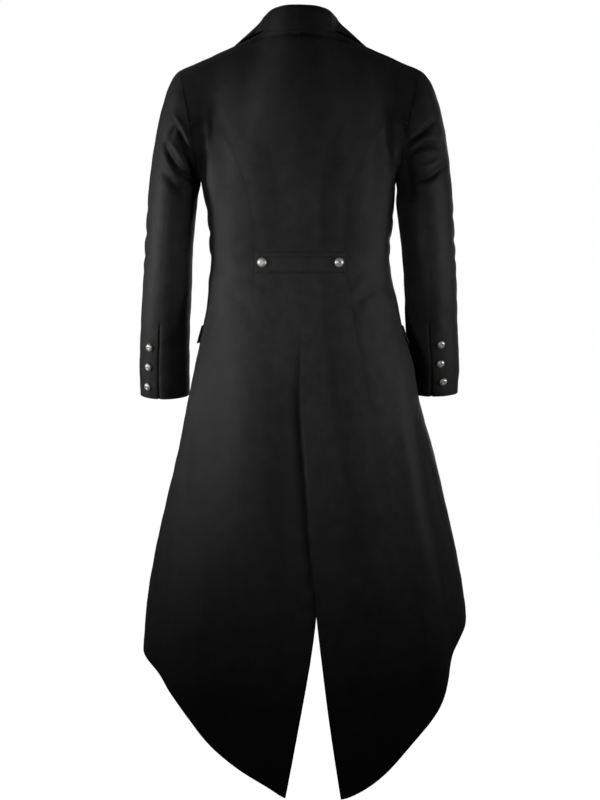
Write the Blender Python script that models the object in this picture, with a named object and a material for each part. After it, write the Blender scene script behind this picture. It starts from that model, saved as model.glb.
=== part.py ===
"""A black tailcoat, filled out as if worn, seen in the photo from the back.

Frame: metres, +Z up, the back of the coat towards +Y, the wearer's left towards +X. The origin is the middle of the
neck opening, level with the tops of the shoulders. All sizes below are in millimetres.
"""

import math
from typing import NamedTuple

import bpy
import numpy as np

MM = 0.001
WALL = 2.0
COLLAR_WALL = 2.8
SEAM_GAP = 0.3
LEFT = 1.0
RIGHT = -1.0

# Levels down the body: 0 the neck and shoulder seams, 1 the chest under the arms, 2 the waist, 3 the hem.
CHEST_DROP = 262.0
CHEST_LEVEL = 1.0
WAIST_LEVEL = 2.0
FRONT_PARTING_LEVEL = 1.6
HEM_LEVEL = 3.0
SHOULDER_STEPS = 10
TORSO_DROPS = (300.0, 340.0, 368.0, 386.0, 407.0, 428.0, 450.0, 479.0)
SKIRT_SHARES = (0.06, 0.125, 0.19, 0.26, 0.33, 0.4, 0.47, 0.54, 0.61, 0.68, 0.75, 0.82, 0.88, 0.94, 1.0)
SHOULDER_GAP_LEVEL = 0.0009

# Turns round the body, in degrees: 0 the middle of the back, 90 the side, 180 the middle of the front.
SIDE_TURN = 90.0
FRONT_EDGE_TURN = 186.0
NECK_POINT_SHARE = 0.36
TIP_TURN = {LEFT: 8.9, RIGHT: 7.7}
TIP_BOW = 1.15
VENT_FORK_DROP = 1052.0
VENT_SINK_LEVELS = (2.06, 2.125)
VENT_LAP_LEVELS = (2.125, 2.19, 2.40, 2.61)
VENT_RISE_LEVELS = (2.61, 2.75)
RING_SQUARE = 0.06


class BodyRing(NamedTuple):
    """A level cut of the coat: half its width, its middle in x, how far its back and front stand, its twist."""

    drop: float
    half_width: float
    middle: float
    back: float
    front: float
    twist: float


BODY_RINGS = (
    BodyRing(262, 183, 3, 120, 122, 0.0),
    BodyRing(327, 176, -1, 112, 118, 0.0),
    BodyRing(384, 171, 0, 101, 110, 0.0),
    BodyRing(410, 170, -1, 98, 107, 0.0),
    BodyRing(441, 174, -1, 99, 107, 0.2),
    BodyRing(479, 179.5, -4.5, 104, 110, 0.6),
    BodyRing(530, 189, -5, 113, 114, 1.2),
    BodyRing(597, 206, -8, 124, 120, 1.7),
    BodyRing(669, 220, -7, 134, 130, 1.0),
    BodyRing(764, 242, -11, 146, 142, 0.0),
    BodyRing(859, 264, -11, 158, 156, -1.6),
    BodyRing(954, 285, -11, 170, 168, -2.5),
    BodyRing(1049, 301, -11, 180, 178, -3.2),
    BodyRing(1120, 307, -11, 187, 184, -3.2),
    BodyRing(1250, 313, -9, 196, 192, -3.2),
    BodyRing(1400, 318, -8, 203, 198, -3.2),
)


class HemPoint(NamedTuple):
    """How far down the hem reaches at a turn, for the wearer's left and right."""

    turn: float
    left: float
    right: float


HEM = (
    HemPoint(7.7, 1390, 1390),
    HemPoint(9.5, 1386, 1388),
    HemPoint(14, 1370, 1377),
    HemPoint(22, 1343, 1348),
    HemPoint(32, 1302, 1300),
    HemPoint(45, 1238, 1236),
    HemPoint(60, 1186, 1136),
    HemPoint(76, 1152, 1084),
    HemPoint(90, 1128, 1060),
    HemPoint(110, 1030, 975),
    HemPoint(130, 875, 845),
    HemPoint(150, 712, 700),
    HemPoint(170, 560, 558),
    HemPoint(186, 492, 492),
)


class WaistPoint(NamedTuple):
    """How far down the waist level lies at a turn."""

    turn: float
    drop: float


WAIST = (
    WaistPoint(-10, 479),
    WaistPoint(90, 479),
    WaistPoint(130, 452),
    WaistPoint(186, 405),
)


class TopPoint(NamedTuple):
    """A point of the neck and shoulder seam, and the slope with which the cloth leaves it for the back."""

    share: float
    across: float
    back: float
    up: float
    slope_across: float
    slope_back: float
    slope_up: float
    reach: float


BACK_TOP = (
    TopPoint(0.00, 0, 74, 37, 0.00, 0.45, -0.89, 215),
    TopPoint(0.12, 28, 69, 36, 0.00, 0.50, -0.86, 215),
    TopPoint(0.24, 52, 50, 32, 0.00, 0.66, -0.72, 210),
    TopPoint(0.36, 68, 12, 24, 0.00, 0.98, -0.16, 200),
    TopPoint(0.58, 117, 8, 0, 0.00, 0.99, -0.06, 195),
    TopPoint(0.80, 172, 2, -24, -0.02, 0.99, -0.03, 215),
    TopPoint(1.00, 224, -5, -46, -0.04, 0.99, -0.06, 262),
)


class ChestSlope(NamedTuple):
    """How the cloth above the chest runs into the chest ring: down, and round it under the arm."""

    share: float
    down: float
    round: float


BACK_SLOPES = (
    ChestSlope(0.0, 260, 0.0),
    ChestSlope(0.5, 265, 0.0),
    ChestSlope(0.7, 240, 0.25),
    ChestSlope(0.85, 150, 1.1),
    ChestSlope(1.0, 34, 2.3),
)
FRONT_SLOPES = (
    ChestSlope(0.0, 330, -0.66),
    ChestSlope(0.2, 310, -0.25),
    ChestSlope(0.5, 270, 0.0),
    ChestSlope(0.7, 240, 0.25),
    ChestSlope(0.85, 150, 1.1),
    ChestSlope(1.0, 34, 2.2),
)
FRONT_REACH = 1.02


class SeamPoint(NamedTuple):
    """Where a long seam lies at a level, as a turn in degrees."""

    level: float
    turn: float


SIDE_BACK_SEAM = (
    SeamPoint(0.50, 89.0),
    SeamPoint(0.60, 70.0),
    SeamPoint(0.70, 54.0),
    SeamPoint(0.80, 41.5),
    SeamPoint(0.90, 33.0),
    SeamPoint(1.00, 28.5),
    SeamPoint(1.50, 26.0),
    SeamPoint(2.00, 28.0),
    SeamPoint(2.50, 36.0),
    SeamPoint(3.00, 42.0),
)
SIDE_SEAM = (
    SeamPoint(0.00, 90.0),
    SeamPoint(1.00, 90.0),
    SeamPoint(1.50, 95.0),
    SeamPoint(2.00, 97.0),
    SeamPoint(3.00, 99.0),
)


class Flute(NamedTuple):
    """A soft fold of the skirt: where it runs, how wide it is and how far it stands out at the hem."""

    side: float
    turn: float
    width: float
    rise: float
    start_drop: float


FLUTES = (
    Flute(RIGHT, 30, 9, -3.0, 700),
    Flute(RIGHT, 48, 8, 5.0, 560),
    Flute(RIGHT, 58, 6, -6.0, 620),
    Flute(RIGHT, 74, 9, 4.0, 600),
    Flute(RIGHT, 108, 14, 5.0, 620),
    Flute(LEFT, 17, 8, -3.5, 620),
    Flute(LEFT, 40, 11, 3.5, 640),
    Flute(LEFT, 64, 8, -4.5, 600),
    Flute(LEFT, 80, 9, 3.5, 640),
    Flute(LEFT, 108, 14, 4.0, 620),
)
FLUTE_GROWTH = 420.0


class SleeveRing(NamedTuple):
    """A cut of a sleeve: its middle in x and y, its half widths, how much lower its back is than its middle."""

    drop: float
    middle: float
    half_width: float
    middle_back: float
    half_depth: float
    tilt: float


LEFT_SLEEVE = (
    SleeveRing(300, 241, 47, 6, 66, 0),
    SleeveRing(384, 248, 46, 1, 62, 2),
    SleeveRing(460, 252, 47, -8, 57, 4),
    SleeveRing(530, 256.5, 47, -22, 52, 6),
    SleeveRing(612, 260, 48, -48, 48, 9),
    SleeveRing(661, 260, 47.5, -64, 47, 8),
)
RIGHT_SLEEVE = (
    SleeveRing(300, 235, 54, 6, 66, 0),
    SleeveRing(384, 243, 51, 1, 62, 2),
    SleeveRing(460, 248, 50, -8, 57, 4),
    SleeveRing(530, 251, 50, -30, 52, 6),
    SleeveRing(612, 258, 48.5, -64, 48, 7),
    SleeveRing(658, 258, 47.5, -85, 47, 7),
)
SLEEVE_SHARES = (0.1, 0.2, 0.3, 0.4, 0.5, 0.58, 0.64, 0.69, 0.77, 0.85, 0.93, 1.0)
CAP_STEPS = 6


class CapSlope(NamedTuple):
    """How a sleeve leaves the armhole at an angle, and how long it takes to run into its first ring."""

    angle: float
    out: float
    back: float
    up: float
    run: float


CAP_SLOPES = (
    CapSlope(-45, 88, -30, -70, 225),
    CapSlope(0, 110, 0, -60, 260),
    CapSlope(45, 88, 25, -70, 225),
    CapSlope(90, 60, 5, -90, 150),
    CapSlope(135, 26, -2, -60, 70),
    CapSlope(180, 10, 0, -40, 40),
    CapSlope(225, 26, 2, -60, 70),
    CapSlope(270, 60, -12, -90, 150),
    CapSlope(315, 88, -30, -70, 225),
    CapSlope(360, 110, 0, -60, 260),
    CapSlope(405, 88, 25, -70, 225),
)
CAP_AXIS_LEAN = 0.08
CAP_FULLNESS = {LEFT: 1.0, RIGHT: 1.2}
BACK_SEAM_AT_ARMHOLE = 90.0
BACK_SEAM_AT_CUFF = {LEFT: 76.0, RIGHT: 95.0}
FRONT_SEAM_AT_ARMHOLE = 216.0
FRONT_SEAM_AT_CUFF = 212.0
SLIT_SINK_LEVELS = (1.58, 1.64)
SLIT_LAP_LEVELS = (1.64, 1.69)
SLIT_LAP = 17.0
LAP_DEPTH = 3.0

# The front edge, the vent and their laps.
FRONT_LAP_START = 160.0
FRONT_LAP_FULL = 172.0
VENT_LAP_TURN = 6.0

# Lapels: the shares of the front that they cover, by level.
GORGE_LEVEL = 0.22


class LapelPoint(NamedTuple):
    """How much of the front a lapel covers at a level, from the break line out."""

    level: float
    share: float


LAPEL = (
    LapelPoint(0.22, 0.48),
    LapelPoint(0.27, 0.53),
    LapelPoint(0.40, 0.46),
    LapelPoint(0.60, 0.31),
    LapelPoint(0.80, 0.15),
    LapelPoint(0.97, 0.03),
)
LAPEL_COLUMNS = (0.0, 0.25, 0.5, 0.75, 1.0)
LAPEL_LEVELS = (0.3, 0.4, 0.5, 0.6, 0.7, 0.8, 0.9)
LAPEL_RISE = 3.8
LAPEL_END = {LEFT: 0.96, RIGHT: 0.88}
LAPEL_UNDER_TURN = 6.5
LAPEL_UNDER_LEVELS = (0.76, 0.88)


class CollarStation(NamedTuple):
    """A cut of the collar: height of its stand, half the width of its roll, where its outer edge lies on the coat."""

    place: float
    stand: float
    roll: float
    edge_share: float
    edge_level: float


COLLAR = (
    CollarStation(0.00, 31, 3.6, 0.00, 0.098),
    CollarStation(0.18, 31, 3.6, 0.14, 0.092),
    CollarStation(0.37, 30, 3.6, 0.29, 0.066),
    CollarStation(0.55, 27, 3.2, 0.455, 0.000),
    CollarStation(0.78, 19, 3.4, 0.62, 0.110),
    CollarStation(1.00, 6, 3.0, 0.66, 0.220),
)
COLLAR_NECK_POINT = 0.55
COLLAR_BACK_STEPS = 6
COLLAR_FRONT_STEPS = 5
COLLAR_CLEAR = 3.9
NECK_AXIS_BACK = 5.0
COLLAR_LEAN = 0.22
ROLL_STEPS = 4

# Half belt, pocket flaps and buttons.
BELT_HALF_TURN = 26.4
BELT_TOP_DROP = 386.0
BELT_BOTTOM_DROP = 428.0
BELT_RISE = 2.9
BELT_WALL = 2.2
BELT_BUTTON_TURN = 22.2
FLAP_TURNS = (84.0, 130.0)
FLAP_DROPS = (528.0, 562.0)
FLAP_RISE = 3.0
FLAP_FLARE = {LEFT: 3.0, RIGHT: 1.0}
BELT_BUTTON_RADIUS = 9.4
CUFF_BUTTON_RADIUS = 8.2
FRONT_BUTTON_RADIUS = 9.4
BUTTON_SEGMENTS = 12
BUTTON_CLEAR = 0.4
CUFF_BUTTONS = {
    LEFT: ((56.0, 1.727), (54.0, 1.829), (51.0, 1.936)),
    RIGHT: ((74.0, 1.717), (78.0, 1.819), (71.5, 1.919)),
}
FRONT_BUTTON_DROPS = (300.0, 365.0, 430.0)

BACK_COLUMNS = (0.0, 0.06, 0.12, 0.18, 0.24, 0.30, 0.36, 0.57, 0.78, 1.0)
SIDE_COLUMNS = (0.0, 0.09, 0.18, 0.27, 0.36, 0.45, 0.56, 0.67, 0.83, 1.0)
FRONT_COLUMNS = (0.0, 0.06, 0.16, 0.3, 0.45, 0.6, 0.74, 0.87, 1.0)
TURN_NUDGE = 0.2
LEVEL_NUDGE = 0.002


class Finish(NamedTuple):
    """Colour, roughness and metal share of a material."""

    colour: tuple
    roughness: float
    metallic: float


CLOTH = Finish((0.016, 0.016, 0.017, 1.0), 0.72, 0.0)
SILVER = Finish((0.62, 0.61, 0.59, 1.0), 0.3, 1.0)


def follow(at, knots, values):
    """Reads the smooth curve through a table's points."""
    at = np.asarray(at, float)
    knots = np.asarray(knots, float)
    values = np.asarray(values, float)
    slopes = np.gradient(values, knots)
    i = np.clip(np.searchsorted(knots, at, side="right") - 1, 0, len(knots) - 2)
    width = knots[i + 1] - knots[i]
    t = (at - knots[i]) / width
    return hermite(t, values[i], slopes[i] * width, values[i + 1], slopes[i + 1] * width)


def hermite(t, start, start_slope, end, end_slope):
    """Cubic curve from its two ends and the slopes there."""
    return (
        (2 * t**3 - 3 * t**2 + 1) * start
        + (t**3 - 2 * t**2 + t) * start_slope
        + (3 * t**2 - 2 * t**3) * end
        + (t**3 - t**2) * end_slope
    )


def column(rows, name):
    """One named column of a table."""
    return [getattr(row, name) for row in rows]


def read(at, rows, key, name):
    """Reads one named column of a table at a place along its key column."""
    return follow(at, column(rows, key), column(rows, name))


def ramp(value, start, end):
    """Goes softly from 0 to 1 between two values."""
    t = np.clip((np.asarray(value, float) - start) / (end - start), 0, 1)
    return t * t * (3 - 2 * t)


def ring_angles(side, turn, drop):
    """The angle of a turn on the ring at a drop, made squarer, for its width and for its depth."""
    angle = np.radians(turn + side * read(drop, BODY_RINGS, "drop", "twist"))
    bow = RING_SQUARE * np.sin(2 * angle)
    return angle + bow, angle - bow


def flute_rise(side, turn, drop):
    """How far the soft folds of the skirt stand out."""
    rise = np.zeros(np.broadcast(turn, drop).shape)
    for flute in FLUTES:
        if flute.side != side:
            continue
        grown = ramp(drop, flute.start_drop, flute.start_drop + FLUTE_GROWTH)
        rise = rise + flute.rise * grown * np.exp(-(((turn - flute.turn) / flute.width) ** 2))
    return rise


def ring_point(side, turn, drop):
    """A point of the coat below the arms."""
    wide, deep = ring_angles(side, turn, drop)
    half = read(drop, BODY_RINGS, "drop", "half_width")
    depth = np.where(
        np.cos(deep) > 0,
        read(drop, BODY_RINGS, "drop", "back"),
        read(drop, BODY_RINGS, "drop", "front"),
    )
    rise = flute_rise(side, turn, drop)
    x = read(drop, BODY_RINGS, "drop", "middle") + side * (half + rise) * np.sin(wide)
    y = (depth + rise) * np.cos(deep)
    return np.stack(np.broadcast_arrays(x, y, -np.asarray(drop, float)), axis=-1)


def ring_normal(side, turn, drop):
    """The outward direction of the coat below the arms."""
    across = ring_point(side, turn + TURN_NUDGE, drop) - ring_point(side, turn - TURN_NUDGE, drop)
    along = ring_point(side, turn, drop + 1.0) - ring_point(side, turn, drop - 1.0)
    return unit(side * np.cross(across, along))


def chest_point(side, turn):
    """A point of the ring under the arms and the direction of the ring there, for one radian of turn."""
    point = ring_point(side, turn, np.full(np.shape(turn), CHEST_DROP))
    ahead = ring_point(side, turn + TURN_NUDGE, np.full(np.shape(turn), CHEST_DROP))
    return point, (ahead - point) / math.radians(TURN_NUDGE)


def top_point(side, share):
    """A point of the neck and shoulder seam, and the slope of the cloth towards the back."""
    mirrored = np.where(share < 0, -1.0, 1.0)
    share = np.abs(share)
    rows = BACK_TOP
    x = side * mirrored * read(share, rows, "share", "across")
    point = np.stack([x, read(share, rows, "share", "back"), read(share, rows, "share", "up")], axis=-1)
    slope = np.stack(
        [
            side * mirrored * read(share, rows, "share", "slope_across"),
            read(share, rows, "share", "slope_back"),
            read(share, rows, "share", "slope_up"),
        ],
        axis=-1,
    )
    reach = read(share, rows, "share", "reach")
    return point, slope * reach[..., None]


def upper_back(side, turn, level):
    """A point of the back between the shoulder seam and the chest."""
    share = turn / SIDE_TURN
    top, slope = top_point(side, share)
    chest, around = chest_point(side, turn)
    down = read(share, BACK_SLOPES, "share", "down")[..., None] * np.array([0.0, 0.0, -1.0])
    end_slope = down + around * read(share, BACK_SLOPES, "share", "round")[..., None]
    return hermite(np.asarray(level)[..., None], top, slope, chest, end_slope)


def upper_front(side, turn, level):
    """A point of the front between the shoulder seam and the chest, out from the break line of the lapel."""
    share = (FRONT_EDGE_TURN - turn) / (FRONT_EDGE_TURN - SIDE_TURN)
    seam = NECK_POINT_SHARE + (1 - NECK_POINT_SHARE) * share
    top, slope = top_point(side, seam)
    chest, around = chest_point(side, turn)
    down = read(share, FRONT_SLOPES, "share", "down")[..., None] * np.array([0.0, 0.0, -1.0])
    end_slope = down - around * read(share, FRONT_SLOPES, "share", "round")[..., None]
    return hermite(np.asarray(level)[..., None], top, -FRONT_REACH * slope, chest, end_slope)


def hem_drop(side, turn):
    """How far down the hem reaches at a turn."""
    return read(turn, HEM, "turn", "left" if side > 0 else "right")


def drop_at(level, turn, bottom):
    """How far down a level lies, for a column of cloth that ends at bottom."""
    waist = np.interp(turn, column(WAIST, "turn"), column(WAIST, "drop"))
    torso = CHEST_DROP + (waist - CHEST_DROP) * (level - CHEST_LEVEL)
    skirt = waist + (bottom - waist) * (level - WAIST_LEVEL)
    return np.where(level < WAIST_LEVEL, torso, skirt)


def body_point(side, turn, level, bottom, front):
    """A point of the outside of the coat's body."""
    turn, level, bottom = np.broadcast_arrays(
        np.asarray(turn, float), np.asarray(level, float), np.asarray(bottom, float)
    )
    upper = upper_front if front else upper_back
    high = upper(side, turn, np.minimum(level, CHEST_LEVEL + LEVEL_NUDGE))
    low = ring_point(side, turn, drop_at(np.maximum(level, CHEST_LEVEL), turn, bottom))
    return np.where((level < CHEST_LEVEL)[..., None], high, low)


def unit(vectors):
    """Vectors of length one."""
    return vectors / np.maximum(np.linalg.norm(vectors, axis=-1, keepdims=True), 1e-9)


def body_normal(side, turn, level, bottom, front):
    """The outward direction of the coat's body."""
    across = body_point(side, turn + TURN_NUDGE, level, bottom, front) - body_point(
        side, turn - TURN_NUDGE, level, bottom, front
    )
    along = body_point(side, turn, level + LEVEL_NUDGE, bottom, front) - body_point(
        side, turn, level - LEVEL_NUDGE, bottom, front
    )
    return unit(side * np.cross(across, along))


def sleeve_ring(side, angle, drop):
    """A point of a sleeve below its first ring."""
    rows = LEFT_SLEEVE if side > 0 else RIGHT_SLEEVE
    turn = np.radians(angle)
    x = read(drop, rows, "drop", "middle") + read(drop, rows, "drop", "half_width") * np.cos(turn)
    y = read(drop, rows, "drop", "middle_back") + read(drop, rows, "drop", "half_depth") * np.sin(turn)
    z = -np.asarray(drop) - read(drop, rows, "drop", "tilt") * np.sin(turn)
    return np.stack(np.broadcast_arrays(side * x, y, z), axis=-1)


def armhole_point(side, angle):
    """A point of the armhole: 0 the shoulder, 90 the back, 180 under the arm, 270 the front."""
    angle = np.mod(angle, 360.0)
    edge = np.full(np.shape(angle), SIDE_TURN)
    back = upper_back(side, edge, np.minimum(angle, 180.0) / 180.0)
    front = upper_front(side, edge, (360.0 - np.maximum(angle, 180.0)) / 180.0)
    return np.where((angle <= 180.0)[..., None], back, front)


def armhole_clear(side, around):
    """The step from the armhole's edge to the sleeve's: out, and off the body where the sleeve hangs over it."""
    low = ramp(around, 30.0, 100.0) * (1 - ramp(around, 260.0, 330.0))
    turn = np.radians(around)
    step = np.stack([0.6 + 0.6 * low, 0.8 * low * np.sin(turn), np.zeros(around.shape)], axis=-1)
    return step * np.array([side, 1.0, 1.0])


def sleeve_point(side, angle, level):
    """A point of a sleeve: level 0 the armhole, 1 the first ring, 2 the cuff."""
    angle, level = np.broadcast_arrays(np.asarray(angle, float), np.asarray(level, float))
    rows = LEFT_SLEEVE if side > 0 else RIGHT_SLEEVE
    first = rows[0].drop
    around = np.mod(angle, 360.0)
    start = armhole_point(side, angle) + armhole_clear(side, around)
    end = sleeve_ring(side, angle, np.full(angle.shape, first))
    out = np.stack(
        [
            side * CAP_FULLNESS[side] * read(around, CAP_SLOPES, "angle", "out"),
            read(around, CAP_SLOPES, "angle", "back"),
            read(around, CAP_SLOPES, "angle", "up"),
        ],
        axis=-1,
    )
    run = read(around, CAP_SLOPES, "angle", "run")[..., None]
    down = run * np.array([side * CAP_AXIS_LEAN, 0.0, -1.0])
    cap = hermite(np.minimum(level, 1.0)[..., None], start, out, end, down)
    arm = sleeve_ring(side, angle, first + (rows[-1].drop - first) * (np.maximum(level, 1.0) - 1.0))
    return np.where((level < 1.0)[..., None], cap, arm)


def sleeve_normal(side, angle, level):
    """The outward direction of a sleeve."""
    across = sleeve_point(side, angle + TURN_NUDGE, level) - sleeve_point(side, angle - TURN_NUDGE, level)
    along = sleeve_point(side, angle, level + LEVEL_NUDGE) - sleeve_point(side, angle, level - LEVEL_NUDGE)
    return unit(-side * np.cross(across, along))


def body_levels():
    """The levels of the rows of every body panel."""
    return np.concatenate(
        [
            np.maximum(np.linspace(0.0, CHEST_LEVEL, SHOULDER_STEPS + 1), SHOULDER_GAP_LEVEL),
            CHEST_LEVEL + (np.array(TORSO_DROPS) - CHEST_DROP) / (TORSO_DROPS[-1] - CHEST_DROP),
            WAIST_LEVEL + (HEM_LEVEL - WAIST_LEVEL) * np.array(SKIRT_SHARES),
        ]
    )


def seam_turn(level, seam):
    """Where a long seam lies at each level."""
    return np.interp(level, column(seam, "level"), column(seam, "turn"))


def nudged(side, turn, level, bottom, front, move):
    """Moves a seam along the cloth by a length."""
    step = body_point(side, turn + TURN_NUDGE, level, bottom, front) - body_point(
        side, turn - TURN_NUDGE, level, bottom, front
    )
    return turn + move * 2 * TURN_NUDGE / np.maximum(np.linalg.norm(step, axis=-1), 1e-3)


def material(name, finish):
    """A plain material for the solids."""
    made = bpy.data.materials.new(name)
    made.use_nodes = True
    shader = made.node_tree.nodes["Principled BSDF"]
    shader.inputs["Base Color"].default_value = finish.colour
    shader.inputs["Roughness"].default_value = finish.roughness
    shader.inputs["Metallic"].default_value = finish.metallic
    return made


def add_solid(name, points, faces, finish):
    """Adds one closed body, facing out."""
    points = np.asarray(points, float)
    volume = 0.0
    for face in faces:
        for i in range(1, len(face) - 1):
            a, b, c = points[face[0]], points[face[i]], points[face[i + 1]]
            volume += np.dot(a, np.cross(b, c))
    if volume < 0:
        faces = [tuple(reversed(face)) for face in faces]
    mesh = bpy.data.meshes.new(name)
    mesh.from_pydata((points * MM).tolist(), [], faces)
    mesh.update()
    solid = bpy.data.objects.new(name, mesh)
    bpy.context.collection.objects.link(solid)
    mesh.materials.append(material(name + "_finish", finish))
    return solid


def add_sheet(name, outer, inner):
    """Adds a piece of cloth from the grids of its two faces."""
    rows, columns = outer.shape[:2]
    count = rows * columns
    points = np.concatenate([outer.reshape(-1, 3), inner.reshape(-1, 3)])
    place = np.arange(count).reshape(rows, columns)
    faces = []
    for r in range(rows - 1):
        for c in range(columns - 1):
            corners = (place[r, c], place[r, c + 1], place[r + 1, c + 1], place[r + 1, c])
            faces.append(tuple(int(k) for k in corners))
            faces.append(tuple(int(k) + count for k in reversed(corners)))
    rim = list(place[0, :]) + list(place[1:, -1]) + list(place[-1, -2::-1]) + list(place[-2:0:-1, 0])
    for here, there in zip(rim, rim[1:] + rim[:1]):
        faces.append((int(there), int(here), int(here) + count, int(there) + count))
    return add_solid(name, points, faces, CLOTH)


def add_panel(name, side, turns, level, front, sink, below="", parting=WAIST_LEVEL):
    """Adds a body panel from the turns of its points, sunk where it runs under another.

    A name for what lies below the parting level makes that a solid of its own, so that each is simple enough to
    stay hollow.
    """
    bottom = hem_drop(side, turns[-1])[None, :]
    grid = np.broadcast_to(level[:, None], turns.shape)
    bottom = np.broadcast_to(bottom, turns.shape)
    normal = body_normal(side, turns, grid, bottom, front)
    outer = body_point(side, turns, grid, bottom, front) - normal * sink[..., None]
    inner = outer - normal * WALL
    if not below:
        add_sheet(name, outer, inner)
        return
    row = int(np.argmin(np.abs(level - parting)))
    step = np.array([0.0, 0.0, SEAM_GAP / 2])
    upper = [face[: row + 1].copy() for face in (outer, inner)]
    lower = [face[row:].copy() for face in (outer, inner)]
    for face in upper:
        face[-1] += step
    for face in lower:
        face[0] -= step
    add_sheet(name, *upper)
    add_sheet(below, *lower)


def spread(first, last, shares):
    """Columns of turns between two edges."""
    shares = np.asarray(shares)[None, :]
    return first[:, None] * (1 - shares) + last[:, None] * shares


def side_back_edge(side, level, move):
    """The seam between back and side, moved along the cloth by a length, by more where it slants."""
    move = move * (2 - ramp(level, 0.6, 1.0))
    turn = seam_turn(level, SIDE_BACK_SEAM)
    bottom = hem_drop(side, turn[-1])
    return nudged(side, turn, level, np.full(level.shape, bottom), False, move)


def add_back(side, name, below=""):
    """Adds a back: from the middle seam and vent to the side back seam and the armhole, down to the tail's tip."""
    level = body_levels()
    tip = hem_drop(side, np.array([TIP_TURN[side]]))[0]
    drop = drop_at(level, 0.0, tip)
    fork = np.clip((drop - VENT_FORK_DROP) / (tip - VENT_FORK_DROP), 0, 1) ** TIP_BOW
    inner = np.where(level < WAIST_LEVEL, 0.0, TIP_TURN[side] * fork)
    inner = nudged(side, inner, level, np.full(level.shape, tip), False, SEAM_GAP / 2)
    seam = side_back_edge(side, level, -SEAM_GAP / 2)
    outer = np.where(level < SIDE_BACK_SEAM[0].level - 1e-6, SIDE_TURN, seam)
    turns = spread(inner, outer, BACK_COLUMNS)
    sink = np.zeros(turns.shape)
    if side > 0:
        opened, full, closing, closed = VENT_LAP_LEVELS
        lap = VENT_LAP_TURN * ramp(level, opened, full) * (1 - ramp(level, closing, closed))
        held = ramp(level, *VENT_SINK_LEVELS) * (1 - ramp(level, *VENT_RISE_LEVELS))
        turns[:, 0] = inner + 0.4
        turns = np.concatenate([(inner - lap)[:, None], turns], axis=1)
        sink = np.zeros(turns.shape)
        sink[:, :2] = LAP_DEPTH * held[:, None]
    add_panel(name, side, turns, level, False, sink, below)


def add_side(side, name):
    """Adds a side panel: from the side back seam to the side seam, down to the hem."""
    level = body_levels()
    level = level[level > SIDE_BACK_SEAM[0].level - 1e-6]
    inner = side_back_edge(side, level, SEAM_GAP / 2)
    turn = seam_turn(level, SIDE_SEAM)
    bottom = hem_drop(side, turn[-1])
    outer = nudged(side, turn, level, np.full(level.shape, bottom), False, -SEAM_GAP / 2)
    outer = np.where(level < CHEST_LEVEL - 1e-6, SIDE_TURN, outer)
    turns = spread(inner, outer, SIDE_COLUMNS)
    add_panel(name, side, turns, level, False, np.zeros(turns.shape))


def add_front(side, name, below):
    """Adds a front: from its edge, or the break line of its lapel, to the side seam and the armhole."""
    level = body_levels()
    turn = seam_turn(level, SIDE_SEAM)
    bottom = hem_drop(side, turn[-1])
    outer = nudged(side, turn, level, np.full(level.shape, bottom), True, SEAM_GAP / 2)
    outer = np.where(level < CHEST_LEVEL - 1e-6, SIDE_TURN, outer)
    turns = spread(np.full(level.shape, FRONT_EDGE_TURN), outer, FRONT_COLUMNS)
    sink = np.zeros(turns.shape)
    if side < 0:
        sink = LAP_DEPTH * ramp(turns, FRONT_LAP_START, FRONT_LAP_FULL) * ramp(level, 0.5, 0.8)[:, None]
    add_panel(name, side, turns, level, True, sink, below, FRONT_PARTING_LEVEL)


def add_lapel(side, name):
    """Adds a lapel, turned back over the front along its break line."""
    rows = [row for row in LAPEL_LEVELS if row < LAPEL_END[side] - 0.02]
    level = np.array([GORGE_LEVEL + 0.003] + rows + [LAPEL_END[side]])
    share = read(level, LAPEL, "level", "share")
    start = np.full(level.shape, FRONT_EDGE_TURN)
    if side < 0:
        start = start - LAPEL_UNDER_TURN * ramp(level, *LAPEL_UNDER_LEVELS)
    turns = spread(start, FRONT_EDGE_TURN - (FRONT_EDGE_TURN - SIDE_TURN) * share, LAPEL_COLUMNS)
    level = np.broadcast_to(level[:, None], turns.shape)
    bottom = np.full(turns.shape, CHEST_DROP)
    normal = body_normal(side, turns, level, bottom, True)
    outer = body_point(side, turns, level, bottom, True) + normal * LAPEL_RISE
    return add_sheet(name, outer, outer - normal * WALL)


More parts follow.
